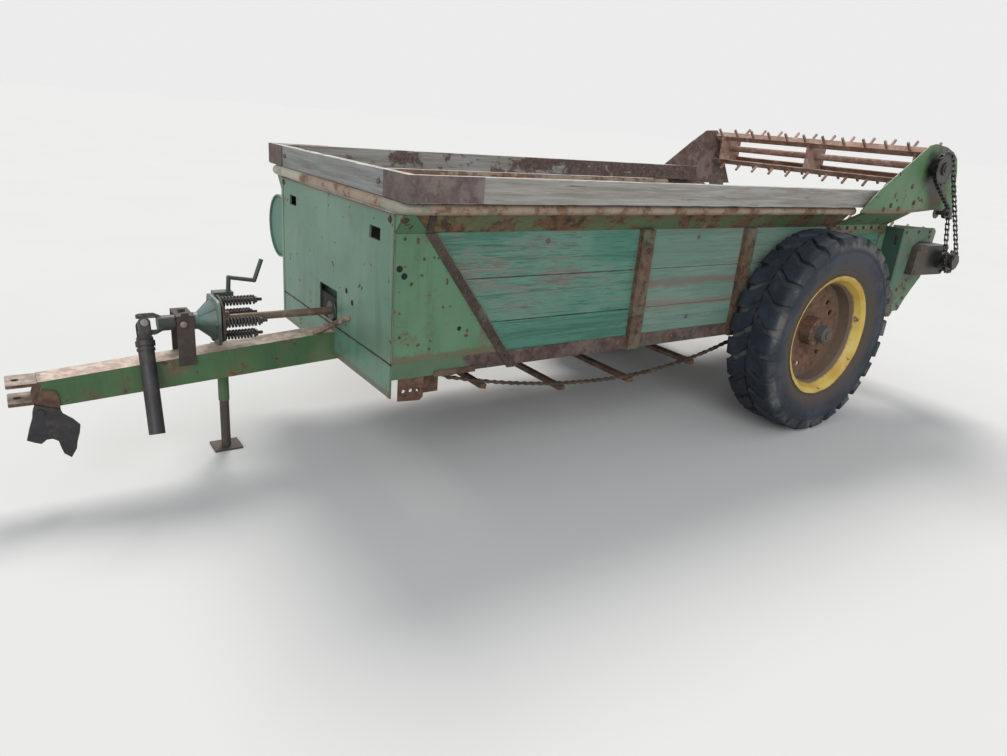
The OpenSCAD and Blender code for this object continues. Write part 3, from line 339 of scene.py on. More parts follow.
# The opening in the front panel that the drive shaft goes through, and the board seams' heights
OPENING = [(X, 2.3, 2.4425), (Y, SHAFT_Y - 0.2, SHAFT_Y + 0.1), (Z, 0.56, 0.745)]
SEAM_LOW, SEAM_HIGH = 0.708, 0.892
# The bays of the side boards behind the front one
BACK_BAYS = (X, 0.4, 1.2)

panel_green = painted(
    "panel_green", (0.064, 0.156, 0.102), (0.1, 0.2, 0.14), loss=0.13, dots=0.72, edge=0.75, rough=0.42,
    dust=0.12, extra=(
        bands([(Z, 0.578, 0.008, RUST_DARK, 0.75), (Z, 0.452, 0.02, RUST, 0.6),
               (Z, 1.14, 0.01, RUST, 0.6)]),
        pocket([(Z, 0.58, 0.68), (Y, 0.32, 0.7)], (0.1, 0.1, 0.07), 0.3, 0.6, 0.05, 0.1),
        # Near black inside the opening: painted shade over the bearing plate behind it
        pocket(OPENING, (0.006, 0.006, 0.006), 1.0, 0.8),
        pocket([(X, 2.4458, 2.47), (Y, -0.2, 0.2)], (0.03, 0.026, 0.022), 1.0, 0.5, 0.0005)))
gusset_green = painted(
    "gusset_green", (0.05, 0.135, 0.065), (0.078, 0.17, 0.092), loss=0.22, dots=0.675, rough=0.45,
    extra=(bands([(Z, 0.592, 0.022, RUST, 0.6)]),))
inner_green = painted("inner_green", (0.075, 0.13, 0.08), (0.12, 0.17, 0.11), loss=0.5, edge=0.9, rough=0.6)
plate_green = painted(
    "plate_green", (0.055, 0.13, 0.055), (0.08, 0.155, 0.075), edge=0.7, dots=0.69, rough=0.45, extra=(
        bands([(Z, 1.18, 0.02, (0.12, 0.06, 0.03), 0.9), (Z, 1.05, 0.02, RUST, 0.6)]),
        near_line(-985, 1268, 40, 165, STAIN, 0.85, 0.6),
        near_line(-925, 1415, 90, 170, GREASE, 0.95, 0.35)))
plate_brown = painted(
    "plate_brown", (0.19, 0.14, 0.12), (0.22, 0.165, 0.14), loss=0.62, edge=0.4, rough=0.7, dust=0.3,
    rust=(0.15, 0.092, 0.078), light=(0.25, 0.165, 0.14), dark=(0.085, 0.05, 0.042))
leg_green = painted(
    "leg_green", (0.04, 0.095, 0.06), (0.065, 0.13, 0.08), rough=0.6, extra=(
        near_line(-867, 568, 40, 110, GREASE, 0.8, 0.4),
        # Darker green on the front flange: painted shade
        pocket([(X, -0.845, -0.8)], (0.018, 0.05, 0.036), 0.8, 0.6)))
sheet_green = painted(
    "rear_sheet_green", (0.06, 0.13, 0.07), (0.1, 0.18, 0.1), loss=0.33, rough=0.55,
    extra=(near_line(-1290, 882, 70, 190, GREASE, 0.85, 0.4),))
flare_green = painted(
    "flare_green", (0.06, 0.11, 0.05), (0.085, 0.13, 0.06), loss=0.52, rough=0.62,
    rust=(0.15, 0.07, 0.03), light=(0.24, 0.13, 0.06))
jack_green = painted(
    "jack_green", (0.04, 0.1, 0.035), (0.06, 0.13, 0.05), rough=0.6,
    extra=(pocket([(Z, 0.655, 1.2)], (0.035, 0.043, 0.036), 0.85, 0.45, 0.015, 0.02),))
bell_green = painted(
    "bell_green", (0.07, 0.125, 0.118), (0.105, 0.18, 0.165), extra=(
        pocket([(X, 3.018, 3.3)], (0.02, 0.018, 0.018), 0.93, 0.5, 0.012, 0.02),
        # Darker below the shaft: painted shade standing for the bell's side openings, which the solid lacks
        pocket([(Z, 0.3, 0.647)], (0.02, 0.032, 0.02), 0.9, 0.45, 0.02, 0.06)))
guard_green = painted("guard_green", (0.06, 0.15, 0.11), (0.09, 0.19, 0.15), loss=0.2)
rust_brown = painted(
    "rust_brown", (0.07, 0.075, 0.045), (0.1, 0.07, 0.045), loss=0.72, edge=0.6, rough=0.75, dust=0.3)
sill_brown = painted(
    "sill_brown", (0.09, 0.07, 0.055), (0.11, 0.085, 0.07), loss=0.62, edge=0.6, rough=0.75, dust=0.3,
    rust=(0.085, 0.052, 0.045), light=(0.13, 0.085, 0.07),
    extra=(pocket([(X, 2.12, 2.7)], (0.06, 0.13, 0.07), 0.8, 0.6, 0.03, 0.25),))
hitch_rust = painted(
    "hitch_rust", (0.09, 0.07, 0.05), (0.12, 0.09, 0.065), loss=0.7, edge=0.5, rough=0.75, dust=0.3,
    # The pale tops are painted sunlight
    extra=(painted_sunlit_tops((0.24, 0.19, 0.15), (0.4, 0.34, 0.29), 0.9),))
brace_tan = painted(
    "brace_tan", (0.24, 0.18, 0.13), (0.3, 0.23, 0.17), loss=0.5, edge=0.5, rough=0.75,
    rust=(0.17, 0.1, 0.065), light=(0.28, 0.19, 0.13),
    # The pale tops are painted sunlight
    extra=(painted_sunlit_tops((0.26, 0.19, 0.15), (0.42, 0.33, 0.27)),))
stake_brown = painted(
    "stake_brown", (0.055, 0.09, 0.05), (0.09, 0.085, 0.055), loss=0.6, edge=0.7, rough=0.72,
    rust=(0.115, 0.062, 0.036), dust=0.25)
corner_brown = painted(
    "corner_brown", (0.145, 0.115, 0.112), (0.17, 0.14, 0.135), loss=0.68, edge=0.4, rough=0.7,
    rust=(0.12, 0.088, 0.082), light=(0.18, 0.14, 0.128), dark=(0.07, 0.05, 0.048))
beater_red = painted(
    "beater_red", (0.38, 0.26, 0.21), (0.44, 0.33, 0.28), loss=0.66, edge=0.4, rough=0.72, dust=0.3,
    rust=(0.34, 0.2, 0.15), light=(0.52, 0.38, 0.32), dark=(0.19, 0.1, 0.075),
    dusty=(0.4, 0.3, 0.25), extra=(pocket([(Y, 0.797, 1.0)], GREASE, 0.96, 0.35),))
pipe_tan = painted(
    "pipe_tan", (0.25, 0.18, 0.13), (0.3, 0.24, 0.18), loss=0.46, edge=0.2,
    rust=(0.18, 0.095, 0.055), light=(0.28, 0.17, 0.1), dark=(0.11, 0.062, 0.042), extra=(
        pocket([(X, 2.42, 2.5), (Y, -0.66, -0.28)], (0.33, 0.35, 0.27), 0.75, 0.5, 0.02, 0.2),
        pocket([(X, 2.36, 2.5), (Y, 0.57, 0.74)], (0.2, 0.235, 0.19), 0.5, 0.5, 0.02, 0.15)))
strap_rust = painted(
    "strap_rust", (0.06, 0.048, 0.042), (0.08, 0.06, 0.05), loss=0.72, edge=0.3, rough=0.8,
    rust=(0.05, 0.029, 0.024), light=(0.085, 0.052, 0.04), dark=(0.02, 0.013, 0.012))
axle_brown = painted("axle_brown", (0.06, 0.055, 0.04), (0.08, 0.07, 0.05), loss=0.65, edge=0.5, rough=0.8)
tongue_paint = painted(
    "tongue_paint", (0.03, 0.085, 0.03), (0.055, 0.125, 0.045), loss=0.32, edge=0.95, dots=0.7, rough=0.55,
    extra=(bands([(Z, 0.33, 0.03, RUST_DARK, 0.5)]),
           # The pale tops are painted sunlight
           painted_sunlit_tops((0.34, 0.24, 0.19), (0.56, 0.45, 0.38), 0.95, (0.7, 0.56))))

boards_paint = wood(
    "boards_paint", (0.168, 0.148, 0.125), (0.082, 0.068, 0.055),
    paint=((0.05, 0.155, 0.11), (0.095, 0.2, 0.155)), loss=0.345, seams=(SEAM_LOW, SEAM_HIGH),
    zone=(0.8, 0.2), extra=(
        bands([(Z, SEAM_LOW, 0.004, SEAM, 0.85), (Z, SEAM_HIGH, 0.004, SEAM, 0.7),
               (Z, 0.53, 0.03, STAIN, 0.6)]),
        pocket([(X, -0.5, 1.2)], (0.18, 0.225, 0.19), 0.42, 0.75, 0.05, 0.3),
        pocket([BACK_BAYS, (Z, 0.8, 0.84)], (0.13, 0.105, 0.085), 0.85, 0.8, 0.015, 0.07),
        pocket([BACK_BAYS, (Z, 0.7, 0.73)], (0.15, 0.125, 0.1), 0.8, 0.8, 0.015, 0.07),
        pocket([(Y, -0.613, 0.613)], (0.12, 0.098, 0.075), 0.8, 0.85, 0.003)))
ext_side = wood(
    "extension_wood", (0.29, 0.285, 0.265), (0.18, 0.16, 0.135),
    # The pale tops are painted sunlight
    extra=(crust, painted_sunlit_tops((0.3, 0.28, 0.25), (0.5, 0.46, 0.42), 0.8)))
ext_front = wood(
    "extension_wood_front", (0.22, 0.23, 0.225), (0.135, 0.13, 0.12), along=Y,
    # The pale tops are painted sunlight
    extra=(painted_sunlit_tops((0.3, 0.27, 0.25), (0.55, 0.5, 0.46), 0.85),))
floor_wood = wood("floor_wood", (0.17, 0.145, 0.11), (0.09, 0.07, 0.05))

# Near black, as painted shade inside the punched holes
hole_dark = iron("hole_dark", (0.004, 0.004, 0.004), (0.006, 0.006, 0.005), (0.01, 0.008, 0.006), 0.9, 0)
worn_steel = iron("worn_steel", (0.075, 0.055, 0.042), (0.12, 0.075, 0.05), (0.17, 0.13, 0.1), 0.6, 0.35)
black_iron = iron("black_iron", (0.02, 0.02, 0.023), (0.034, 0.032, 0.034), (0.075, 0.055, 0.045), 0.5, 0.3)
greasy = iron("greasy_iron", (0.012, 0.012, 0.012), (0.03, 0.027, 0.022), (0.06, 0.045, 0.032), 0.42, 0.25)
gear_case = iron(
    "gear_case", (0.035, 0.036, 0.028), (0.06, 0.048, 0.036), (0.1, 0.078, 0.055), 0.6,
    extra=(near_line(-1290, 882, 80, 220, GREASE, 0.7, 0.35),))
chain_dirt = iron("chain_dirt", (0.05, 0.038, 0.03), (0.085, 0.058, 0.042), (0.13, 0.095, 0.07), 0.7, 0.3)
shaft_brown = iron(
    "shaft_brown", (0.09, 0.06, 0.045), (0.14, 0.095, 0.065), (0.22, 0.165, 0.125), 0.5, 0.25)
spring_iron = iron(
    "spring_iron", (0.03, 0.026, 0.025), (0.05, 0.039, 0.035), (0.095, 0.065, 0.055), 0.5, 0.2)
leg_steel = iron("leg_steel", (0.05, 0.04, 0.034), (0.08, 0.055, 0.04), (0.12, 0.09, 0.07), 0.65, 0.2)
stand_iron = iron(
    "stand_iron", (0.032, 0.026, 0.022), (0.055, 0.036, 0.028), (0.1, 0.065, 0.048), 0.65, 0.2)
pale_steel = iron("pale_steel", (0.2, 0.18, 0.16), (0.3, 0.27, 0.24), (0.16, 0.11, 0.08), 0.5, 0.4)


def tyre_rubber():
    g = Graph("tyre_rubber")
    r = g.radius(AXLE_X, HUB_Z)
    grain = g.noise(30, 8, 0.7)
    patch = g.noise(5, 8, 0.65, shift=6)
    colour = g.mix(g.smooth(patch, 0.38, 0.64), (0.009, 0.013, 0.021), (0.019, 0.026, 0.038))
    # Dust lies in the grooves and browns the sidewall near the rim
    bed = g.smooth(g.stir(r, patch, 0.02), 0.534, 0.518)
    top = g.smooth(r, 0.46, 0.49)
    dust = g.mix(g.smooth(patch, 0.46, 0.6), (0.03, 0.034, 0.04), (0.12, 0.115, 0.105))
    colour = g.mix(g.times(g.times(bed, top), 0.85), colour, dust)
    side = g.mix(g.smooth(patch, 0.4, 0.62), (0.022, 0.028, 0.04), (0.05, 0.054, 0.062))
    colour = g.mix(g.smooth(r, 0.49, 0.44, 0.75), colour, side)
    colour = g.mix(g.smooth(g.stir(r, patch, 0.1), 0.425, 0.345, 0.85), colour, (0.075, 0.055, 0.04))
    colour = g.mix(g.smooth(grain, 0.52, 0.72, 0.5), colour, (0.055, 0.058, 0.063))
    g.shader.inputs["Specular IOR Level"].default_value = 0.3
    rings = g.times(g.smooth(g.math("SINE", g.times(r, 520.0)), 0.7, 1.0), g.smooth(r, 0.405, 0.375))
    height = g.plus(g.times(grain, 0.6), g.times(rings, 1.4))
    return g.finish(colour, 0.72, height, 0.4, 0.0015)


def rim_paint():
    g = Graph("rim_paint")
    r = g.radius(AXLE_X, HUB_Z)
    spots = g.noise(9, 12, 0.72)
    pits = g.noise(30, 9, 0.74, shift=4)
    run = g.stir(r, spots, 0.022)
    fade = g.smooth(g.noise(4, 5, 0.6, shift=9), 0.4, 0.62)
    yellow = g.mix(fade, (0.42, 0.26, 0.035), (0.5, 0.36, 0.075))
    rust = g.mix(g.smooth(pits, 0.36, 0.62), (0.065, 0.034, 0.024), (0.15, 0.075, 0.045))
    barrel = g.times(g.smooth(r, 0.235, 0.262), g.smooth(r, 0.3, 0.285))
    rust = g.mix(g.times(barrel, 0.75), rust, (0.13, 0.095, 0.07))
    rust = g.mix(g.smooth(g.noise(14, 8, 0.7, shift=13), 0.55, 0.7), rust, (0.17, 0.1, 0.065))
    ring = g.smooth(run, 0.277, 0.284)
    chips = g.smooth(g.plus(spots, g.times(pits, 0.5)), 0.86, 0.9)
    lip = g.smooth(run, 0.3265, 0.3235)
    keep = g.times(ring, g.times(lip, g.minus(1.0, chips)))
    colour = g.mix(keep, rust, yellow)
    colour = g.mix(g.smooth(r, 0.052, 0.046), colour, (0.075, 0.07, 0.066))
    height = g.plus(g.times(keep, 0.6), pits)
    return g.finish(colour, g.blend(keep, 0.8, 0.45), height, 0.4, 0.0012)


rubber = tyre_rubber()
rim_yellow = rim_paint()

# Materials and the nodes of the CAD that they dress
LOOKS = (
    (tongue_paint, "tongue"), (hitch_rust, "hitch_clevis"),
    (rust_brown, "rest_strap apron_slats apron_bearings"), (black_iron, "shaft_rest pto_tube"),
    (brace_tan, "tongue_brace"), (axle_brown, "cross_members axle"), (sill_brown, "sills"),
    (floor_wood, "floor"), (boards_paint, "boards_left boards_right"), (stake_brown, "stakes"),
    (flare_green, "flares"), (pipe_tan, "top_pipe"), (panel_green, "front_panel"),
    (gusset_green, "gussets"), (inner_green, "front_wall"), (strap_rust, "diagonal_straps"),
    (ext_side, "extension_left extension_right"), (ext_front, "extension_front"),
    (corner_brown, "corner_plates"), (plate_green, "end_plate_left"), (plate_brown, "end_plate_right"),
    (leg_green, "legs"), (sheet_green, "rear_sheets"), (gear_case, "gearbox"),
    (greasy, "beater_chain chain_idler"), (beater_red, "upper_beater main_beater"),
    (chain_dirt, "apron_chains"), (worn_steel, "apron_rear_shaft apron_front_shaft"),
    (stand_iron, "shaft_stand"), (bell_green, "clutch"), (spring_iron, "drive_shaft"),
    (guard_green, "drive_case side_drive"), (jack_green, "jack_tube"), (leg_steel, "jack_leg"),
    (rubber, "tyre_left tyre_right"), (rim_yellow, "rim_left rim_right"),
)
LOOK = {name: material for material, names in LOOKS for name in names.split()}


def dress(obj, material):
    obj.data.materials.clear()
    obj.data.materials.append(material)


for name, obj in nodes.items():
    dress(obj, LOOK[name])

# Pieces

FRONT = Vector((1, 0, 0))
OUT = Vector((0, 1, 0))
UP = Vector((0, 0, 1))
SIDES = (("left", 1), ("right", -1))


def piece(name, bm, material, body="frame", sharp=35, node=None):
    """Makes a mesh into a piece on a body, in place of a node of the CAD where one is given."""
    mesh = bpy.data.meshes.new(name)
    bmesh.ops.recalc_face_normals(bm, faces=bm.faces)
    bm.to_mesh(mesh)
    bm.free()
    obj = placed(name, mesh)
    mesh.shade_smooth()
    mesh.set_sharp_from_angle(angle=radians(sharp))
    dress(obj, material)
    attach(obj, body)
    if node:
        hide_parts(node)


def basis(axis):
    """A rotation that turns +Z into axis."""
    z = axis.normalized()
    x = UP.cross(z)
    if x.length < 1e-4:
        x = FRONT.cross(z)
    x.normalize()
    y = z.cross(x)
    return Matrix((x, y, z)).transposed().to_4x4()


def skin(bm, loops):
    """Faces between each loop of points and the next. A loop of one point is the tip of a fan."""
    for a, b in zip(loops, loops[1:]):
        for k in range(max(len(a), len(b))):
            corners = (a[k % len(a)], a[(k + 1) % len(a)], b[(k + 1) % len(b)], b[k % len(b)])
            bm.faces.new(list(dict.fromkeys(corners)))


def capped(bm, loops):
    """A skin closed at both ends."""
    skin(bm, loops)
    bm.faces.new(loops[0])
    bm.faces.new(loops[-1][::-1])


def add_prism(bm, place, axis, profile, sides, turn=0.0):
    """A turned form: profile rows are (radius, height along the axis)."""
    frame_at = Matrix.Translation(place) @ basis(axis) @ Matrix.Rotation(turn, 4, "Z")
    angles = [2 * pi * k / sides for k in range(sides)]
    skin(bm, [[bm.verts.new(frame_at @ Vector((r * cos(a), r * sin(a), h)))
               for a in (angles if r > 1e-6 else angles[:1])] for r, h in profile])


def disc(r, h):
    return [(0, 0), (r, 0), (r, h), (0, h)]


def bolt(bm, place, axis, turn, r=0.0085, h=0.007):
    """A hexagon head on a washer."""
    place = place - axis.normalized() * 0.0008
    add_prism(bm, place, axis, disc(r * 1.35, 0.0022), 14)
    add_prism(bm, place, axis, [(0, 0.0018), (r, 0.0018), (r, h * 0.82), (r * 0.84, h), (0, h)], 6, turn)


def rivet(bm, place, axis, r, h):
    """A domed carriage-bolt head."""
    place = place - axis.normalized() * 0.0006
    add_prism(bm, place, axis, [(0, 0), (r, 0), (r * 0.95, h * 0.4), (r * 0.7, h * 0.8), (0, h)], 12)


def helix(bm, place, axis, radius, wire, turns, length, steps, sides):
    """A coil of round wire, closed at both ends."""
    m = Matrix.Translation(place) @ basis(axis)
    total = int(turns * steps)
    rings = []
    for i in range(total + 1):
        a = 2 * pi * i / steps
        c = Vector((radius * cos(a), radius * sin(a), length * i / total))
        rise = length / (turns * 2 * pi)
        t = Vector((-radius * sin(a), radius * cos(a), rise)).normalized()
        out = Vector((cos(a), sin(a), 0))
        side = t.cross(out)
        rings.append([bm.verts.new(m @ (c + wire * (cos(b) * out + sin(b) * side)))
                      for b in (2 * pi * k / sides for k in range(sides))])
    capped(bm, rings)


def along(points):
    """Length of a closed line through points, and a call that gives the place at a length along it."""
    pts = points + [points[0]]
    runs = [0.0]
    for a, b in zip(pts, pts[1:]):
        runs.append(runs[-1] + (b - a).length)

    def where(s):
        s %= runs[-1]
        for k in range(len(runs) - 1):
            if s <= runs[k + 1]:
                f = (s - runs[k]) / max(1e-9, runs[k + 1] - runs[k])
                return pts[k].lerp(pts[k + 1], f)
        return pts[-1]
    return runs[-1], where


# Fasteners, in one mesh each for the frame's iron and its wood

# Outer faces that carry them, in millimetres
PANEL_X, BOARD_X = 2445, 2464
BOARD_Y, GUSSET_Y, SHEET_Y, BAND_Y, STAKE_Y = 622, 626, 627, 628, 648
LEG_Y, CORNER_Y, CASE_Y, PLATE_Y = 735, 754, 768, 785

heads = bmesh.new()
for s in (1, -1):
    side = OUT * s
    for x, z in product((1185, 460, -255), (602, 790, 985)):
        bolt(heads, at(x, s * STAKE_Y, z), side, 0.2 + z)
    for k in range(8):
        bolt(heads, at(1990 - k * 355, s * BAND_Y, 552), side, k, h=0.006)
    # Along the band under the end plate, and on the leg and the rear sheet
    for k in range(6):
        bolt(heads, at(-325 - k * 84, s * SHEET_Y, 1066), side, k)
    for y, spots in ((SHEET_Y, ((-1150, 1052), (-1010, 1052), (-1380, 1000), (-1330, 760), (-1240, 600))),
                     (LEG_Y, ((-1140, 1052), (-1010, 1052), (-870, 1052), (-925, 700), (-870, 640)))):
        for x, z in spots:
            bolt(heads, at(x, s * y, z), side, x)
# Gusset, front corner and the gearbox
for x, z in ((2231, 790), (2284, 626), (2413, 684), (2403, 1055), (2321, 979)):
    rivet(heads, at(x, GUSSET_Y, z), OUT, 0.0085, 0.004)
bolt(heads, at(2429, 675, 1127.6), Vector((0, 0.738, -0.675)), 0.7, 0.011, 0.008)
bolt(heads, at(PANEL_X, 592, 1120), FRONT, 0.4, 0.011, 0.008)
bolt(heads, at(PANEL_X, -592, 1120), FRONT, 0.1, 0.011, 0.008)
for x, z in product((-1345, -1015), (806, 952)):
    bolt(heads, at(x, CASE_Y, z), OUT, x, 0.01, 0.008)
piece("frame_bolts", heads, rust_brown)

plate_heads = bmesh.new()
for x, z in ((-610, 1196), (-520, 1214), (-760, 1230), (-455, 1192), (-700, 1320)):
    for s in (1, -1):
        bolt(plate_heads, at(x, s * PLATE_Y, z), OUT * s, x, 0.011)
piece("end_plate_bolts", plate_heads, rust_brown)

board_heads = bmesh.new()
for s in (1, -1):
    for x, z in ((1745, 1034), (830, 1034), (60, 1034), (-560, 960), (830, 640)):
        rivet(board_heads, at(x, s * BOARD_Y, z), OUT * s, 0.0125, 0.004)
    for y, z in ((518, 1246), (667, 1262)):
        rivet(board_heads, at(BOARD_X, s * y, z), FRONT, 0.011, 0.005)
    for x, z in ((2436, 1267), (2271, 1262), (2200, 1222)):
        rivet(board_heads, at(x, s * CORNER_Y, z), OUT * s, 0.014, 0.005)
piece("board_bolts", board_heads, corner_brown)


def hole(bm, place, axis, r):
    """A hole punched in sheet, drawn as a shallow dish with a burr round it, coloured near black as painted
    shade.
    """
    dish = [(0, 0.0006), (r, 0.0006), (r * 1.12, 0.0009), (r * 1.2, 0)]
    add_prism(bm, place - axis * 0.0004, axis, dish, 18)


holes = bmesh.new()
for y, z in ((193, 766), (254, 729)):
    hole(holes, at(PANEL_X, y, z), FRONT, 0.011)
for x, z, radius in ((2421, 946, 0.011), (2401, 918, 0.011), (2152, 697, 0.008)):
    hole(holes, at(x, BAND_Y, z), OUT, radius)
piece("sheet_holes", holes, hole_dark)

# Folded edge strips down the sides of the front panel
strips = bmesh.new()
for s in (1, -1):
    for ends in ((440, 576), (580, 1142)):
        outline = ((PANEL_X, 596), (PANEL_X + 1.6, 600), (PANEL_X + 1.6, 624), (PANEL_X, 628))
        capped(strips, [[strips.verts.new(at(x, s * y, z)) for x, y in outline] for z in ends])
piece("panel_folds", strips, panel_green)


def skewed(bm, side, corners, profile):
    """A sheet lying on the flare: corners are (station, share of the way up), and profile has
    the lower and upper edge of its two faces, as (distance out, height)."""
    capped(bm, [[bm.verts.new(at(x, side * (lower[0] + (upper[0] - lower[0]) * f),
                                 lower[1] + (upper[1] - lower[1]) * f)) for x, f in corners]
                for lower, upper in profile])


# The gusset's top, bent out along the flare to the pipe, and the strap's end beside it
tops = bmesh.new()
strap_ends = bmesh.new()
for side in (1, -1):
    skewed(tops, side, [(2441, 0), (2441, 1), (2397, 1), (2305, 0)],
           [((626, 1074), (695.2, 1149.6)), ((623.6, 1076.2), (692.8, 1151.8))])
    skewed(strap_ends, side, [(2318, 0.02), (2338, 0.96), (2312, 0.98), (2291, 0.02)],
           [((628, 1072), (697.4, 1147.4)), ((624.6, 1075.4), (694, 1150.8))])
    # Closed at the front, in the plane of the panel
    corner = ((624, 1074), (692, 1148.5), (624, 1148.5))
    capped(tops, [[tops.verts.new(at(x, side * y, z)) for y, z in corner] for x in (2440.5, 2443.5)])
piece("gusset_tops", tops, gusset_green)
piece("strap_ends", strap_ends, strap_rust)

# Sleeves welded on the pipe
PIPE_Z = 1172
sleeves = bmesh.new()
SLEEVE = [(0.0221, 0), (0.0229, 0.0015), (0.0229, 0.0065), (0.0221, 0.008)]
for s in (1, -1):
    for x in (2330, 980):
        add_prism(sleeves, at(x, s * 705, PIPE_Z), FRONT, SLEEVE, 32)
    add_prism(sleeves, at(2455, s * 560, PIPE_Z), OUT, SLEEVE, 32)
piece("pipe_sleeves", sleeves, pipe_tan)


# Depth of wear on the timber's faces
WORN = 0.0022


def weathered(side, step, material):
    """A board in place of a plain solid: the same box, with worn edges and hollows along its grain."""
    lo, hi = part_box("extension_" + side)
    size = hi - lo
    n = [max(2, round(size[k] / step[k])) for k in range(3)]
    long_axis = max(range(3), key=lambda k: size[k])
    bm = bmesh.new()
    verts = {}

    def vert(key):
        if key not in verts:
            p = Vector([lo[a] + size[a] * key[a] / n[a] for a in range(3)])
            q = p.copy()
            q[long_axis] *= 0.22
            rough = noise.noise(q * 31) * 0.5 + noise.noise(q * 90) * 0.3 + 0.5
            chip = max(0.0, noise.noise(p * 9 + Vector((3, 1, 7))) - 0.12) * 3
            rims = sum(1 for a in range(3) if a != long_axis and key[a] in (0, n[a]))
            depth = WORN * (0.25 + 0.55 * rough) * (1.0 if rims < 2 else 1.3 + chip)
            for a in range(3):
                if key[a] == 0:
                    p[a] += depth
                elif key[a] == n[a]:
                    p[a] -= depth
            verts[key] = bm.verts.new(p)
        return verts[key]

    for a, end in product(range(3), (0, 1)):
        b, c = (a + 1) % 3, (a + 2) % 3
        for u, v in product(range(n[b]), range(n[c])):
            corners = []
            for du, dv in ((0, 0), (1, 0), (1, 1), (0, 1)):
                key = [0, 0, 0]
                key[a], key[b], key[c] = end * n[a], u + du, v + dv
                corners.append(vert(tuple(key)))
            bm.faces.new(corners if end else corners[::-1])
    piece("extension_board_" + side, bm, material, sharp=50, node="extension_" + side)


weathered("left", (0.02, 0.012, 0.012), ext_side)
weathered("right", (0.02, 0.012, 0.012), ext_side)
weathered("front", (0.012, 0.02, 0.012), ext_front)


# Wheels

WHEEL_Y, TYRE_R = 798.0, 540.0
TYRE_STEPS = 208
# Outer half of the tyre's section, from the bead to the middle of the tread: radius, distance out
WALL = [(308, 88), (308, 101), (310.5, 106.5), (320, 107.6), (331, 107.8), (334, 111), (339, 113.2),
        (343, 112.8), (346, 116), (350, 117.6), (354, 117.2), (358, 120), (366, 123.5), (380, 127.8),
        (398, 131.3), (420, 134), (440, 135), (455, 135), (460, 134.2), (463, 136.6), (468, 137.3),
        (474, 136.6), (480, 133), (494, 127), (507, 117), (515, 101), (519, 80), (520, 50), (520, 0)]
INNER = [(484, 0), (482, -90), (430, -116), (380, -106), (336, -92)]
LUGS = 26
# Rows of one tread bar, from side wall to middle: radius and distance out of its top and its foot
BAR = [(473, 137.7, 473, 128), (486, 137.9, 484, 124), (500, 137.6, 496, 118), (514, 136, 505, 110),
       (526, 131.5, 511, 103), (534, 124.5, 515, 95), (538.4, 114, 517, 88), (540, 101, 518, 80),
       (540, 84, 518.5, 72), (540, 66, 518.5, 60), (540, 48, 518.5, 46), (540, 28, 518.5, 28),
       (540, 7, 518.5, 7)]
CAP_NUT = [(0, 0), (0.024, 0), (0.024, 0.0075), (0.0205, 0.0085), (0, 0.0085)]
CROSS_BAR = [(0, -0.023), (0.0028, -0.023), (0.0028, 0.023), (0, 0.023)]
VALVE = [(0, 0), (0.006, 0), (0.0045, 0.012), (0.004, 0.03), (0.005, 0.031), (0.005, 0.04), (0, 0.041)]


def turned(bm, centre, s, section):
    """Turns a closed section of (radius, distance outward) about the wheel's own axis."""
    rings = []
    for k in range(TYRE_STEPS):
        a = 2 * pi * k / TYRE_STEPS
        rings.append([bm.verts.new(centre + Vector((r * cos(a), s * y, -r * sin(a))) / 1000)
                      for r, y in section])
    skin(bm, rings + [rings[0]])


def tread_bar(bm, centre, s, half, start, wear):
    """One bar, straight at the shoulder, that slants forward to meet the other side's bars."""
    rows = []
    for r, y, foot_r, foot_y in BAR:
        # Wide on the tread, with narrow slots between, and narrower down the shoulder
        wide = 10.0 * min(1.0, max(0.0, (r - 500) / 30))
        slant = max(0.0, 80 - y) * 0.8
        taper = max(0.0, 500 - r) * 0.12
        left = slant - 36 - wide - taper
        right = slant + 38 + wide + taper
        top = Vector((r - (wear if r > 520 else 0), y))
        foot = Vector((foot_r, foot_y))
        edge = top + (foot - top).normalized() * 3.2
        row = []
        for u, p in ((left - 3, foot), (left, edge), (left + 3.2, top), (right - 3.2, top), (right, edge),
                     (right + 3, foot)):
            a = radians(start) - u / TYRE_R
            place = Vector((p[0] * cos(a), s * half * p[1], -p[0] * sin(a)))
            row.append(bm.verts.new(centre + place / 1000))
        rows.append(row)
    capped(bm, rows)


for name, s in SIDES:
    tyre = bmesh.new()
    middle = at(0, s * WHEEL_Y, TYRE_R)
    lower_half = [(r, -y) for r, y in reversed(WALL[:-1])]
    inside = INNER[::-1][:-1]
    inner_wall = inside + [INNER[0]] + [(r, -y) for r, y in reversed(inside)]
    turned(tyre, middle, s, WALL + lower_half + inner_wall)
    for half, k in product((1, -1), range(LUGS)):
        wear = 0 if k % 13 == 7 else 0.9 + 0.9 * noise.noise(Vector((k * 1.7, half * 3, s)))
        start = (k + (0 if half > 0 else 0.5)) * 360 / LUGS
        tread_bar(tyre, middle, s, half, start, max(0.0, wear))
    piece("traction_tyre_" + name, tyre, rubber, "wheel_" + name, 32, "tyre_" + name)
    # Nuts of the hub and of its cap, and the valve
    nuts = bmesh.new()
    out = OUT * s
    for k in range(6):
        a = 2 * pi * (k + 0.5) / 6
        seat = Vector((0.061 * cos(a), s * 0.0495, 0.061 * sin(a)))
        bolt(nuts, middle + seat, out, k, 0.0095, 0.011)
    add_prism(nuts, middle + out * 0.104, out, CAP_NUT, 6)
    for k in range(3):
        a = pi * k / 3
        add_prism(nuts, middle + out * 0.1, Vector((cos(a), 0, sin(a))), CROSS_BAR, 8)
    add_prism(nuts, middle + Vector((0.268, s * 0.045, 0)), out, VALVE, 12)
    piece("hub_nuts_" + name, nuts, worn_steel, "wheel_" + name)


# Chains

def about(x, z, r, a, y):
    """The point at an angle and distance from a line along Y, in millimetres."""
    return at(x + r * cos(a), y, z + r * sin(a))


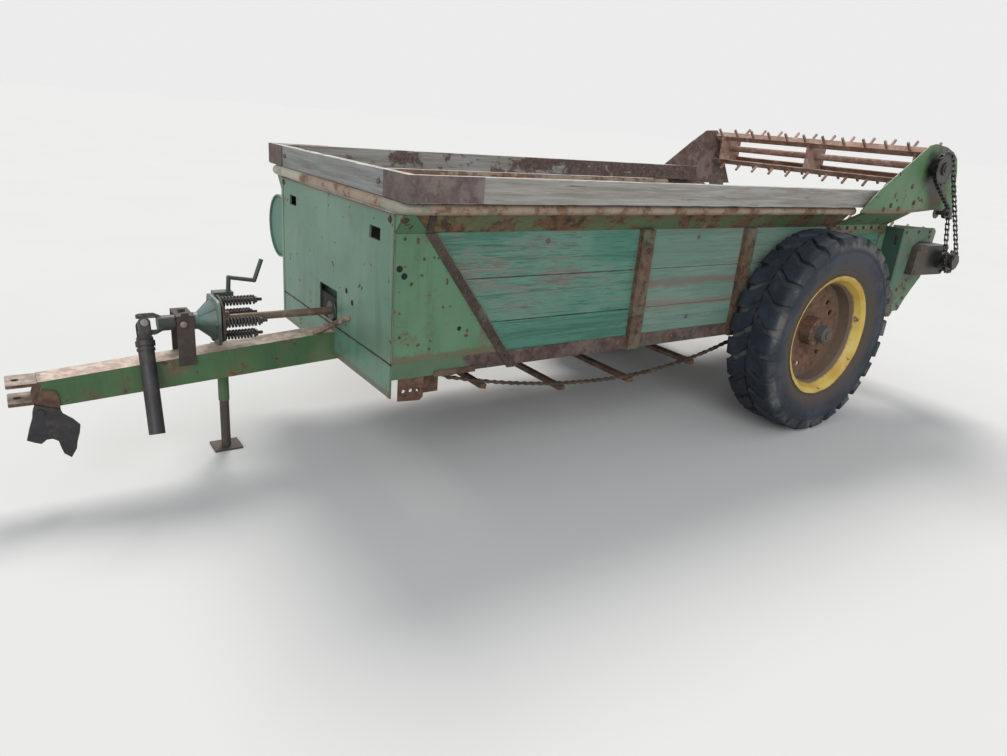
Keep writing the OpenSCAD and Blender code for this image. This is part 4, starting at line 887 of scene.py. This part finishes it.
# One tooth's outline: share of the pitch, height over the pitch circle
TOOTH = [(-0.5, -9.5), (-0.32, -8.6), (-0.2, -2.5), (-0.1, 4.6), (0.1, 4.6), (0.2, -2.5), (0.32, -8.6)]
CHAIN_Y = 834.0
# Faces of a sprocket and of its chamfers: distance from the middle, and how much is cut off the teeth
SPROCKET_FACES = [(-5.2, 1.6), (-3.8, 0), (3.8, 0), (5.2, 1.6)]


def tooth_ring(name, centre, pitch_r, teeth, body):
    bm = bmesh.new()
    outline = [(2 * pi * (k + 0.5 + f) / teeth, pitch_r + r) for k in range(teeth) for f, r in TOOTH]
    rows = [[bm.verts.new(about(*centre, r - cut, a, CHAIN_Y + off)) for a, r in outline]
            for off, cut in SPROCKET_FACES]
    inner = [[bm.verts.new(about(*centre, pitch_r - 14, a, CHAIN_Y + off)) for a, r in outline]
             for off in (-5.2, 5.2)]
    skin(bm, [inner[0]] + rows + [inner[1], inner[0]])
    piece(name, bm, greasy, body, sharp=28)


def arc_points(cx, cz, r, a, b, n):
    """Points of an arc about (cx, cz), between two angles in degrees."""
    angles = [radians(a + (b - a) * i / n) for i in range(n + 1)]
    return [Vector((cx + r * cos(t), 0, cz + r * sin(t))) for t in angles]


# Beater drive chain, along the same loop as the solid chain. R_UP and R_LOW are pitch circles.
UPPER = (-898.0, 1428.0)
LOWER = (-1290.0, 882.0)
IDLER = (-1055.0, 1177.0)
PITCH = 35.0
PLATE_T = 2.4
UPPER_TEETH, LOWER_TEETH = 16, 12
R_UP = PITCH / 2 / sin(radians(180 / UPPER_TEETH))
R_LOW = PITCH / 2 / sin(radians(180 / LOWER_TEETH))
R_IDLE = 36.0


def heading(a, b):
    return degrees(atan2(b[1] - a[1], b[0] - a[0]))


def span(a, b):
    return hypot(b[0] - a[0], b[1] - a[1])


rear_a = heading(UPPER, LOWER) - degrees(acos((R_UP - R_LOW) / span(UPPER, LOWER)))
front_a = heading(UPPER, IDLER) + degrees(acos((R_UP + R_IDLE) / span(UPPER, IDLER)))
below_a = heading(LOWER, IDLER) - degrees(acos((R_LOW + R_IDLE) / span(LOWER, IDLER)))
loop = (arc_points(*UPPER, R_UP, rear_a, front_a - 360, 40)
        + arc_points(*IDLER, R_IDLE, front_a + 180, below_a + 180, 8)
        + arc_points(*LOWER, R_LOW, below_a, rear_a, 26))


def chain_mesh(name, node, material, path, y, pitch, plate_h, inner, outer, roller, sides):
    """Closed roller chain: rollers at the pitch, with inner and outer side plates in turn."""
    length, where = along(path)
    count = int(round(length / pitch / 2)) * 2
    step = length / count
    bm = bmesh.new()
    for k in range(count):
        a = where(k * step)
        b = where((k + 1) * step)
        pin = disc(roller * 0.45e-3, (2 * outer + 4) / 1000)
        add_prism(bm, at(a.x, y - outer - 2, a.z), OUT, pin, sides)
        add_prism(bm, at(a.x, y - inner + 1, a.z), OUT, disc(roller / 1000, (2 * inner - 2) / 1000), 10)
        ahead = atan2(b.z - a.z, b.x - a.x)
        mid = (a + b) / 2
        for s in (-1, 1):
            plate_y = y + s * (inner if k % 2 else outer)
            rows = []
            for face_y in (plate_y - PLATE_T / 2, plate_y + PLATE_T / 2):
                ring = []
                for c, turn in ((b, 0), (a, 180)):
                    for q in range(7):
                        th = ahead + radians(turn - 100 + 200 * q / 6)
                        ring.append(bm.verts.new(about(c.x, c.z, plate_h, th, face_y)))
                    # The plate is drawn in at its waist
                    th = ahead + radians(turn + 90)
                    ring.append(bm.verts.new(about(mid.x, mid.z, plate_h * 0.52, th, face_y)))
                rows.append(ring)
            capped(bm, rows)
    piece(name, bm, material, node=node)


tooth_ring("upper_sprocket_teeth", UPPER, R_UP, UPPER_TEETH, "upper_reel")
tooth_ring("lower_sprocket_teeth", LOWER, R_LOW, LOWER_TEETH, "main_reel")
chain_mesh("drive_chain_links", "beater_chain", greasy, loop, CHAIN_Y, PITCH,
           8.6, 6.2, 9.4, 5.6, 8)

# Apron chains: the same links, round the floor and back along the slack run
APRON_Z, REAR_R, FRONT_R = 614.0, 46.0, 59.0
REAR_C = (-867.0, APRON_Z - REAR_R)
FRONT_C = (2130.0, 517.0)
BEND = (1990.0, APRON_Z)
SAG_X, SAG_Z, REST_X, REST_Z = 1130.0, 328.0, 145.0, 496.0


def slack(x):
    """Height of the return run: two parabolas that meet at its lowest point."""
    if x > SAG_X:
        return SAG_Z + (FRONT_C[1] - FRONT_R - SAG_Z) * ((x - SAG_X) / (FRONT_C[0] - SAG_X)) ** 2
    return SAG_Z + (REST_Z - SAG_Z) * ((SAG_X - x) / (SAG_X - REST_X)) ** 2


dip = heading(BEND, FRONT_C) + degrees(asin(FRONT_R / span(FRONT_C, BEND)))
stations = [FRONT_C[0] + (SAG_X - FRONT_C[0]) * k / 9 for k in range(1, 10)]
stations += [SAG_X + (REST_X - SAG_X) * k / 9 for k in range(1, 10)]
apron = ([Vector((REAR_C[0], 0, APRON_Z)), Vector((BEND[0], 0, BEND[1]))]
         + arc_points(*FRONT_C, FRONT_R, 90 + dip, -90, 22)
         + [Vector((x, 0, slack(x))) for x in stations] + [Vector((-700, 0, REST_Z))]
         + arc_points(*REAR_C, REAR_R, 270, 100, 18))
for name, s in SIDES:
    chain_mesh("apron_links_" + name, "apron_chains", chain_dirt, apron, s * 535, 42.0,
               7.6, 5.6, 8.4, 4.6, 6)

# Slip clutch: the shaft with its pressure plate and four sprung bolts
CROSS_X, CROSS_TILT = 3200.0, Vector((0, 0.9048, 0.4258))
PLATE_X, SPRING_L, CIRCLE = 2912.0, 130.0, 71.0
SPRING_END = PLATE_X - SPRING_L
QUARTER = pi / 2
COLLAR = [(0.016, 0), (0.03, 0.004), (0.03, 0.034), (0, 0.034)]
THREAD = [(0.0072 - 0.001 * (q % 2), 0.002 + q * 0.0012) for q in range(1, 17)]
STUD = [(0, 0), (0.0062, 0), (0.0072, 0.0012)] + THREAD + [(0.0072, 0.165), (0, 0.165)]
WASHER = [(0, 0), (0.0195, 0), (0.0195, 0.003), (0.012, 0.0035), (0, 0.0035)]
STUD_NUT = [(0, 0), (0.0125, 0), (0.0135, 0.0012), (0.0135, 0.0105), (0.0115, 0.012), (0, 0.012)]
PLATE = [(0, 0), (0.05, 0), (0.053, 0.0018), (0.092, 0.0018), (0.096, 0.0045), (0.096, 0.0125),
         (0.094, 0.014), (0, 0.014)]
SPRING_SEAT = [(0, 0), (0.023, 0), (0.021, 0.004), (0, 0.004)]
BELL_NUT = [(0, 0), (0.019, 0), (0.019, 0.0185), (0.015, 0.0215), (0, 0.0215)]
BEARING_CAP = [(0, 0), (0.0135, 0), (0.0135, 0.0012), (0.0105, 0.0016), (0, 0.0016)]
DOME_HEAD = [(0, 0.0105), (0.013, 0.0105), (0.013, 0.0122), (0.0065, 0.0155), (0, 0.0155)]


def on_drive(x, a=0.0, r=0.0):
    """A point at a station of the drive shaft, an angle and a distance from its axis."""
    return at(x, 28 - r * sin(a), 640 + r * cos(a))


shaft = bmesh.new()
springs = bmesh.new()
studs = bmesh.new()
pressure = bmesh.new()
add_prism(shaft, on_drive(2369), FRONT, disc(0.016, 0.543), 40)
add_prism(shaft, on_drive(2878), FRONT, COLLAR, 32)
add_prism(pressure, on_drive(PLATE_X), FRONT, PLATE, 64)
for k in range(4):
    a = QUARTER * k
    start = on_drive(SPRING_END + 3.6, a, CIRCLE)
    helix(springs, start, FRONT, 0.0162, 0.0047, 9.5, (SPRING_L - 8) / 1000, 18, 8)
    add_prism(studs, on_drive(SPRING_END - 34, a, CIRCLE), FRONT, STUD, 14)
    add_prism(studs, on_drive(SPRING_END - 0.2, a, CIRCLE), -FRONT, WASHER, 24)
    add_prism(studs, on_drive(SPRING_END - 3, a, CIRCLE), -FRONT, STUD_NUT, 6, 0.3 + k)
    add_prism(pressure, on_drive(PLATE_X + 0.4, a, CIRCLE), -FRONT, SPRING_SEAT, 28)
for part, bm, material, sharp in (
        ("clutch_shaft", shaft, shaft_brown, 35), ("clutch_springs", springs, spring_iron, 60),
        ("clutch_studs", studs, spring_iron, 35), ("clutch_pressure_plate", pressure, stand_iron, 35)):
    piece(part, bm, material, "drive_line", sharp, "drive_shaft")

# Ribs and bolt lugs on the fixed bell in front of the plate
bell = bmesh.new()
for k in range(4):
    a = QUARTER * (k + 0.5)
    tip = on_drive(2944.4, a, 93)
    add_prism(bell, on_drive(2931.6, QUARTER * k, CIRCLE), FRONT, BELL_NUT, 6, k)
    across = (tip - on_drive(2944.4)).normalized().cross(FRONT) * 0.0045
    ring = [on_drive(2944, a, 60), tip, on_drive(3006, a, 33), on_drive(3006, a, 20)]
    capped(bell, [[bell.verts.new(p + side * across) for p in ring] for side in (-1, 1)])
piece("clutch_ribs", bell, bell_green)

# Ends of the cross and the bolt that pinches the stand
joint = bmesh.new()
for cap in (CROSS_TILT, -CROSS_TILT):
    add_prism(joint, on_drive(CROSS_X) + cap * 0.0408, cap, BEARING_CAP, 24)
add_prism(joint, at(3064, 67.2, 641), OUT, DOME_HEAD, 18)
piece("stand_bolt", joint, pale_steel)


# Light, floor and camera

scene.view_settings.view_transform = "Standard"

FLOOR_SIZE, FLOOR_ROUGH, FLOOR_LIT = 600, 0.95, 0.84
DOME_COLOUR, DOME_LIGHT = (0.93, 0.96, 1.0, 1), 0.62

g = Graph("studio_floor")
pale = g.mix(g.smooth(g.noise(0.6, 3, 0.5), 0.3, 0.7), (0.562, 0.56, 0.552), (0.572, 0.57, 0.562))
g.finish(pale, FLOOR_ROUGH)
g.shader.inputs["Specular IOR Level"].default_value = 0.0
bpy.ops.mesh.primitive_plane_add(size=FLOOR_SIZE, location=(0, 0, 0))
ground = bpy.context.object
ground.name = "studio_floor"
dress(ground, g.material)

# The world lights softly, and shows to the camera and in reflections as pale as the lit floor
world = bpy.data.worlds.new("studio")
scene.world = world
world.use_nodes = True
tree = world.node_tree
link = tree.links.new
dome = tree.nodes["Background"]
dome.inputs[0].default_value = DOME_COLOUR
dome.inputs[1].default_value = DOME_LIGHT
shown = tree.nodes.new("ShaderNodeBackground")
shown.inputs[0].default_value = (FLOOR_LIT, FLOOR_LIT, FLOOR_LIT, 1)
rays = tree.nodes.new("ShaderNodeLightPath")
seen = rays.outputs["Is Camera Ray"]
for ray_name in ("Is Glossy Ray", "Is Transmission Ray"):
    either = tree.nodes.new("ShaderNodeMath")
    either.operation = "ADD"
    either.use_clamp = True
    link(seen, either.inputs[0])
    link(rays.outputs[ray_name], either.inputs[1])
    seen = either.outputs[0]
choose = tree.nodes.new("ShaderNodeMixShader")
link(seen, choose.inputs[0])
link(dome.outputs[0], choose.inputs[1])
link(shown.outputs[0], choose.inputs[2])
link(choose.outputs[0], tree.nodes["World Output"].inputs[0])


def sun(name, place, strength, spread, colour):
    """A sun that shines from the direction of a place, with a spread in degrees."""
    data = bpy.data.lights.new(name, "SUN")
    data.energy = strength
    data.angle = radians(spread)
    data.color = colour
    placed(name, data).rotation_euler = Vector(place).to_track_quat("Z", "Y").to_euler()


sun("key", (-2.5, -4.5, 6.6), 2.8, 24, (1.0, 0.97, 0.92))
sun("fill", (5.0, 6.5, 4.0), 1.7, 45, (0.95, 0.98, 1.0))

# The photograph's camera: focal length and width in pixels, angles in degrees
FOCAL, PHOTO_WIDTH = 723.70, 1007
YAW, PITCH_DOWN, ROLL = -125.5928, 19.5026, 4.9034
CAMERA_AT = at(3603.9, 2986.6, 1484.3)
SENSOR = 36


def cos_sin(angle):
    return cos(radians(angle)), sin(radians(angle))


(cy, sy), (cp, sp), (c, s) = (cos_sin(angle) for angle in (YAW, PITCH_DOWN, ROLL))
look = Vector((cy * cp, sy * cp, -sp))
right = Vector((sy, -cy, 0))
up = right.cross(look)
right, up = c * right + s * up, -s * right + c * up
data = bpy.data.cameras.new("camera")
data.sensor_fit = "HORIZONTAL"
data.sensor_width = SENSOR
data.lens = SENSOR * FOCAL / PHOTO_WIDTH
camera = placed("camera", data)
turned_to = Matrix((right, up, -look)).transposed().to_4x4()
camera.matrix_world = Matrix.Translation(CAMERA_AT) @ turned_to
scene.camera = camera
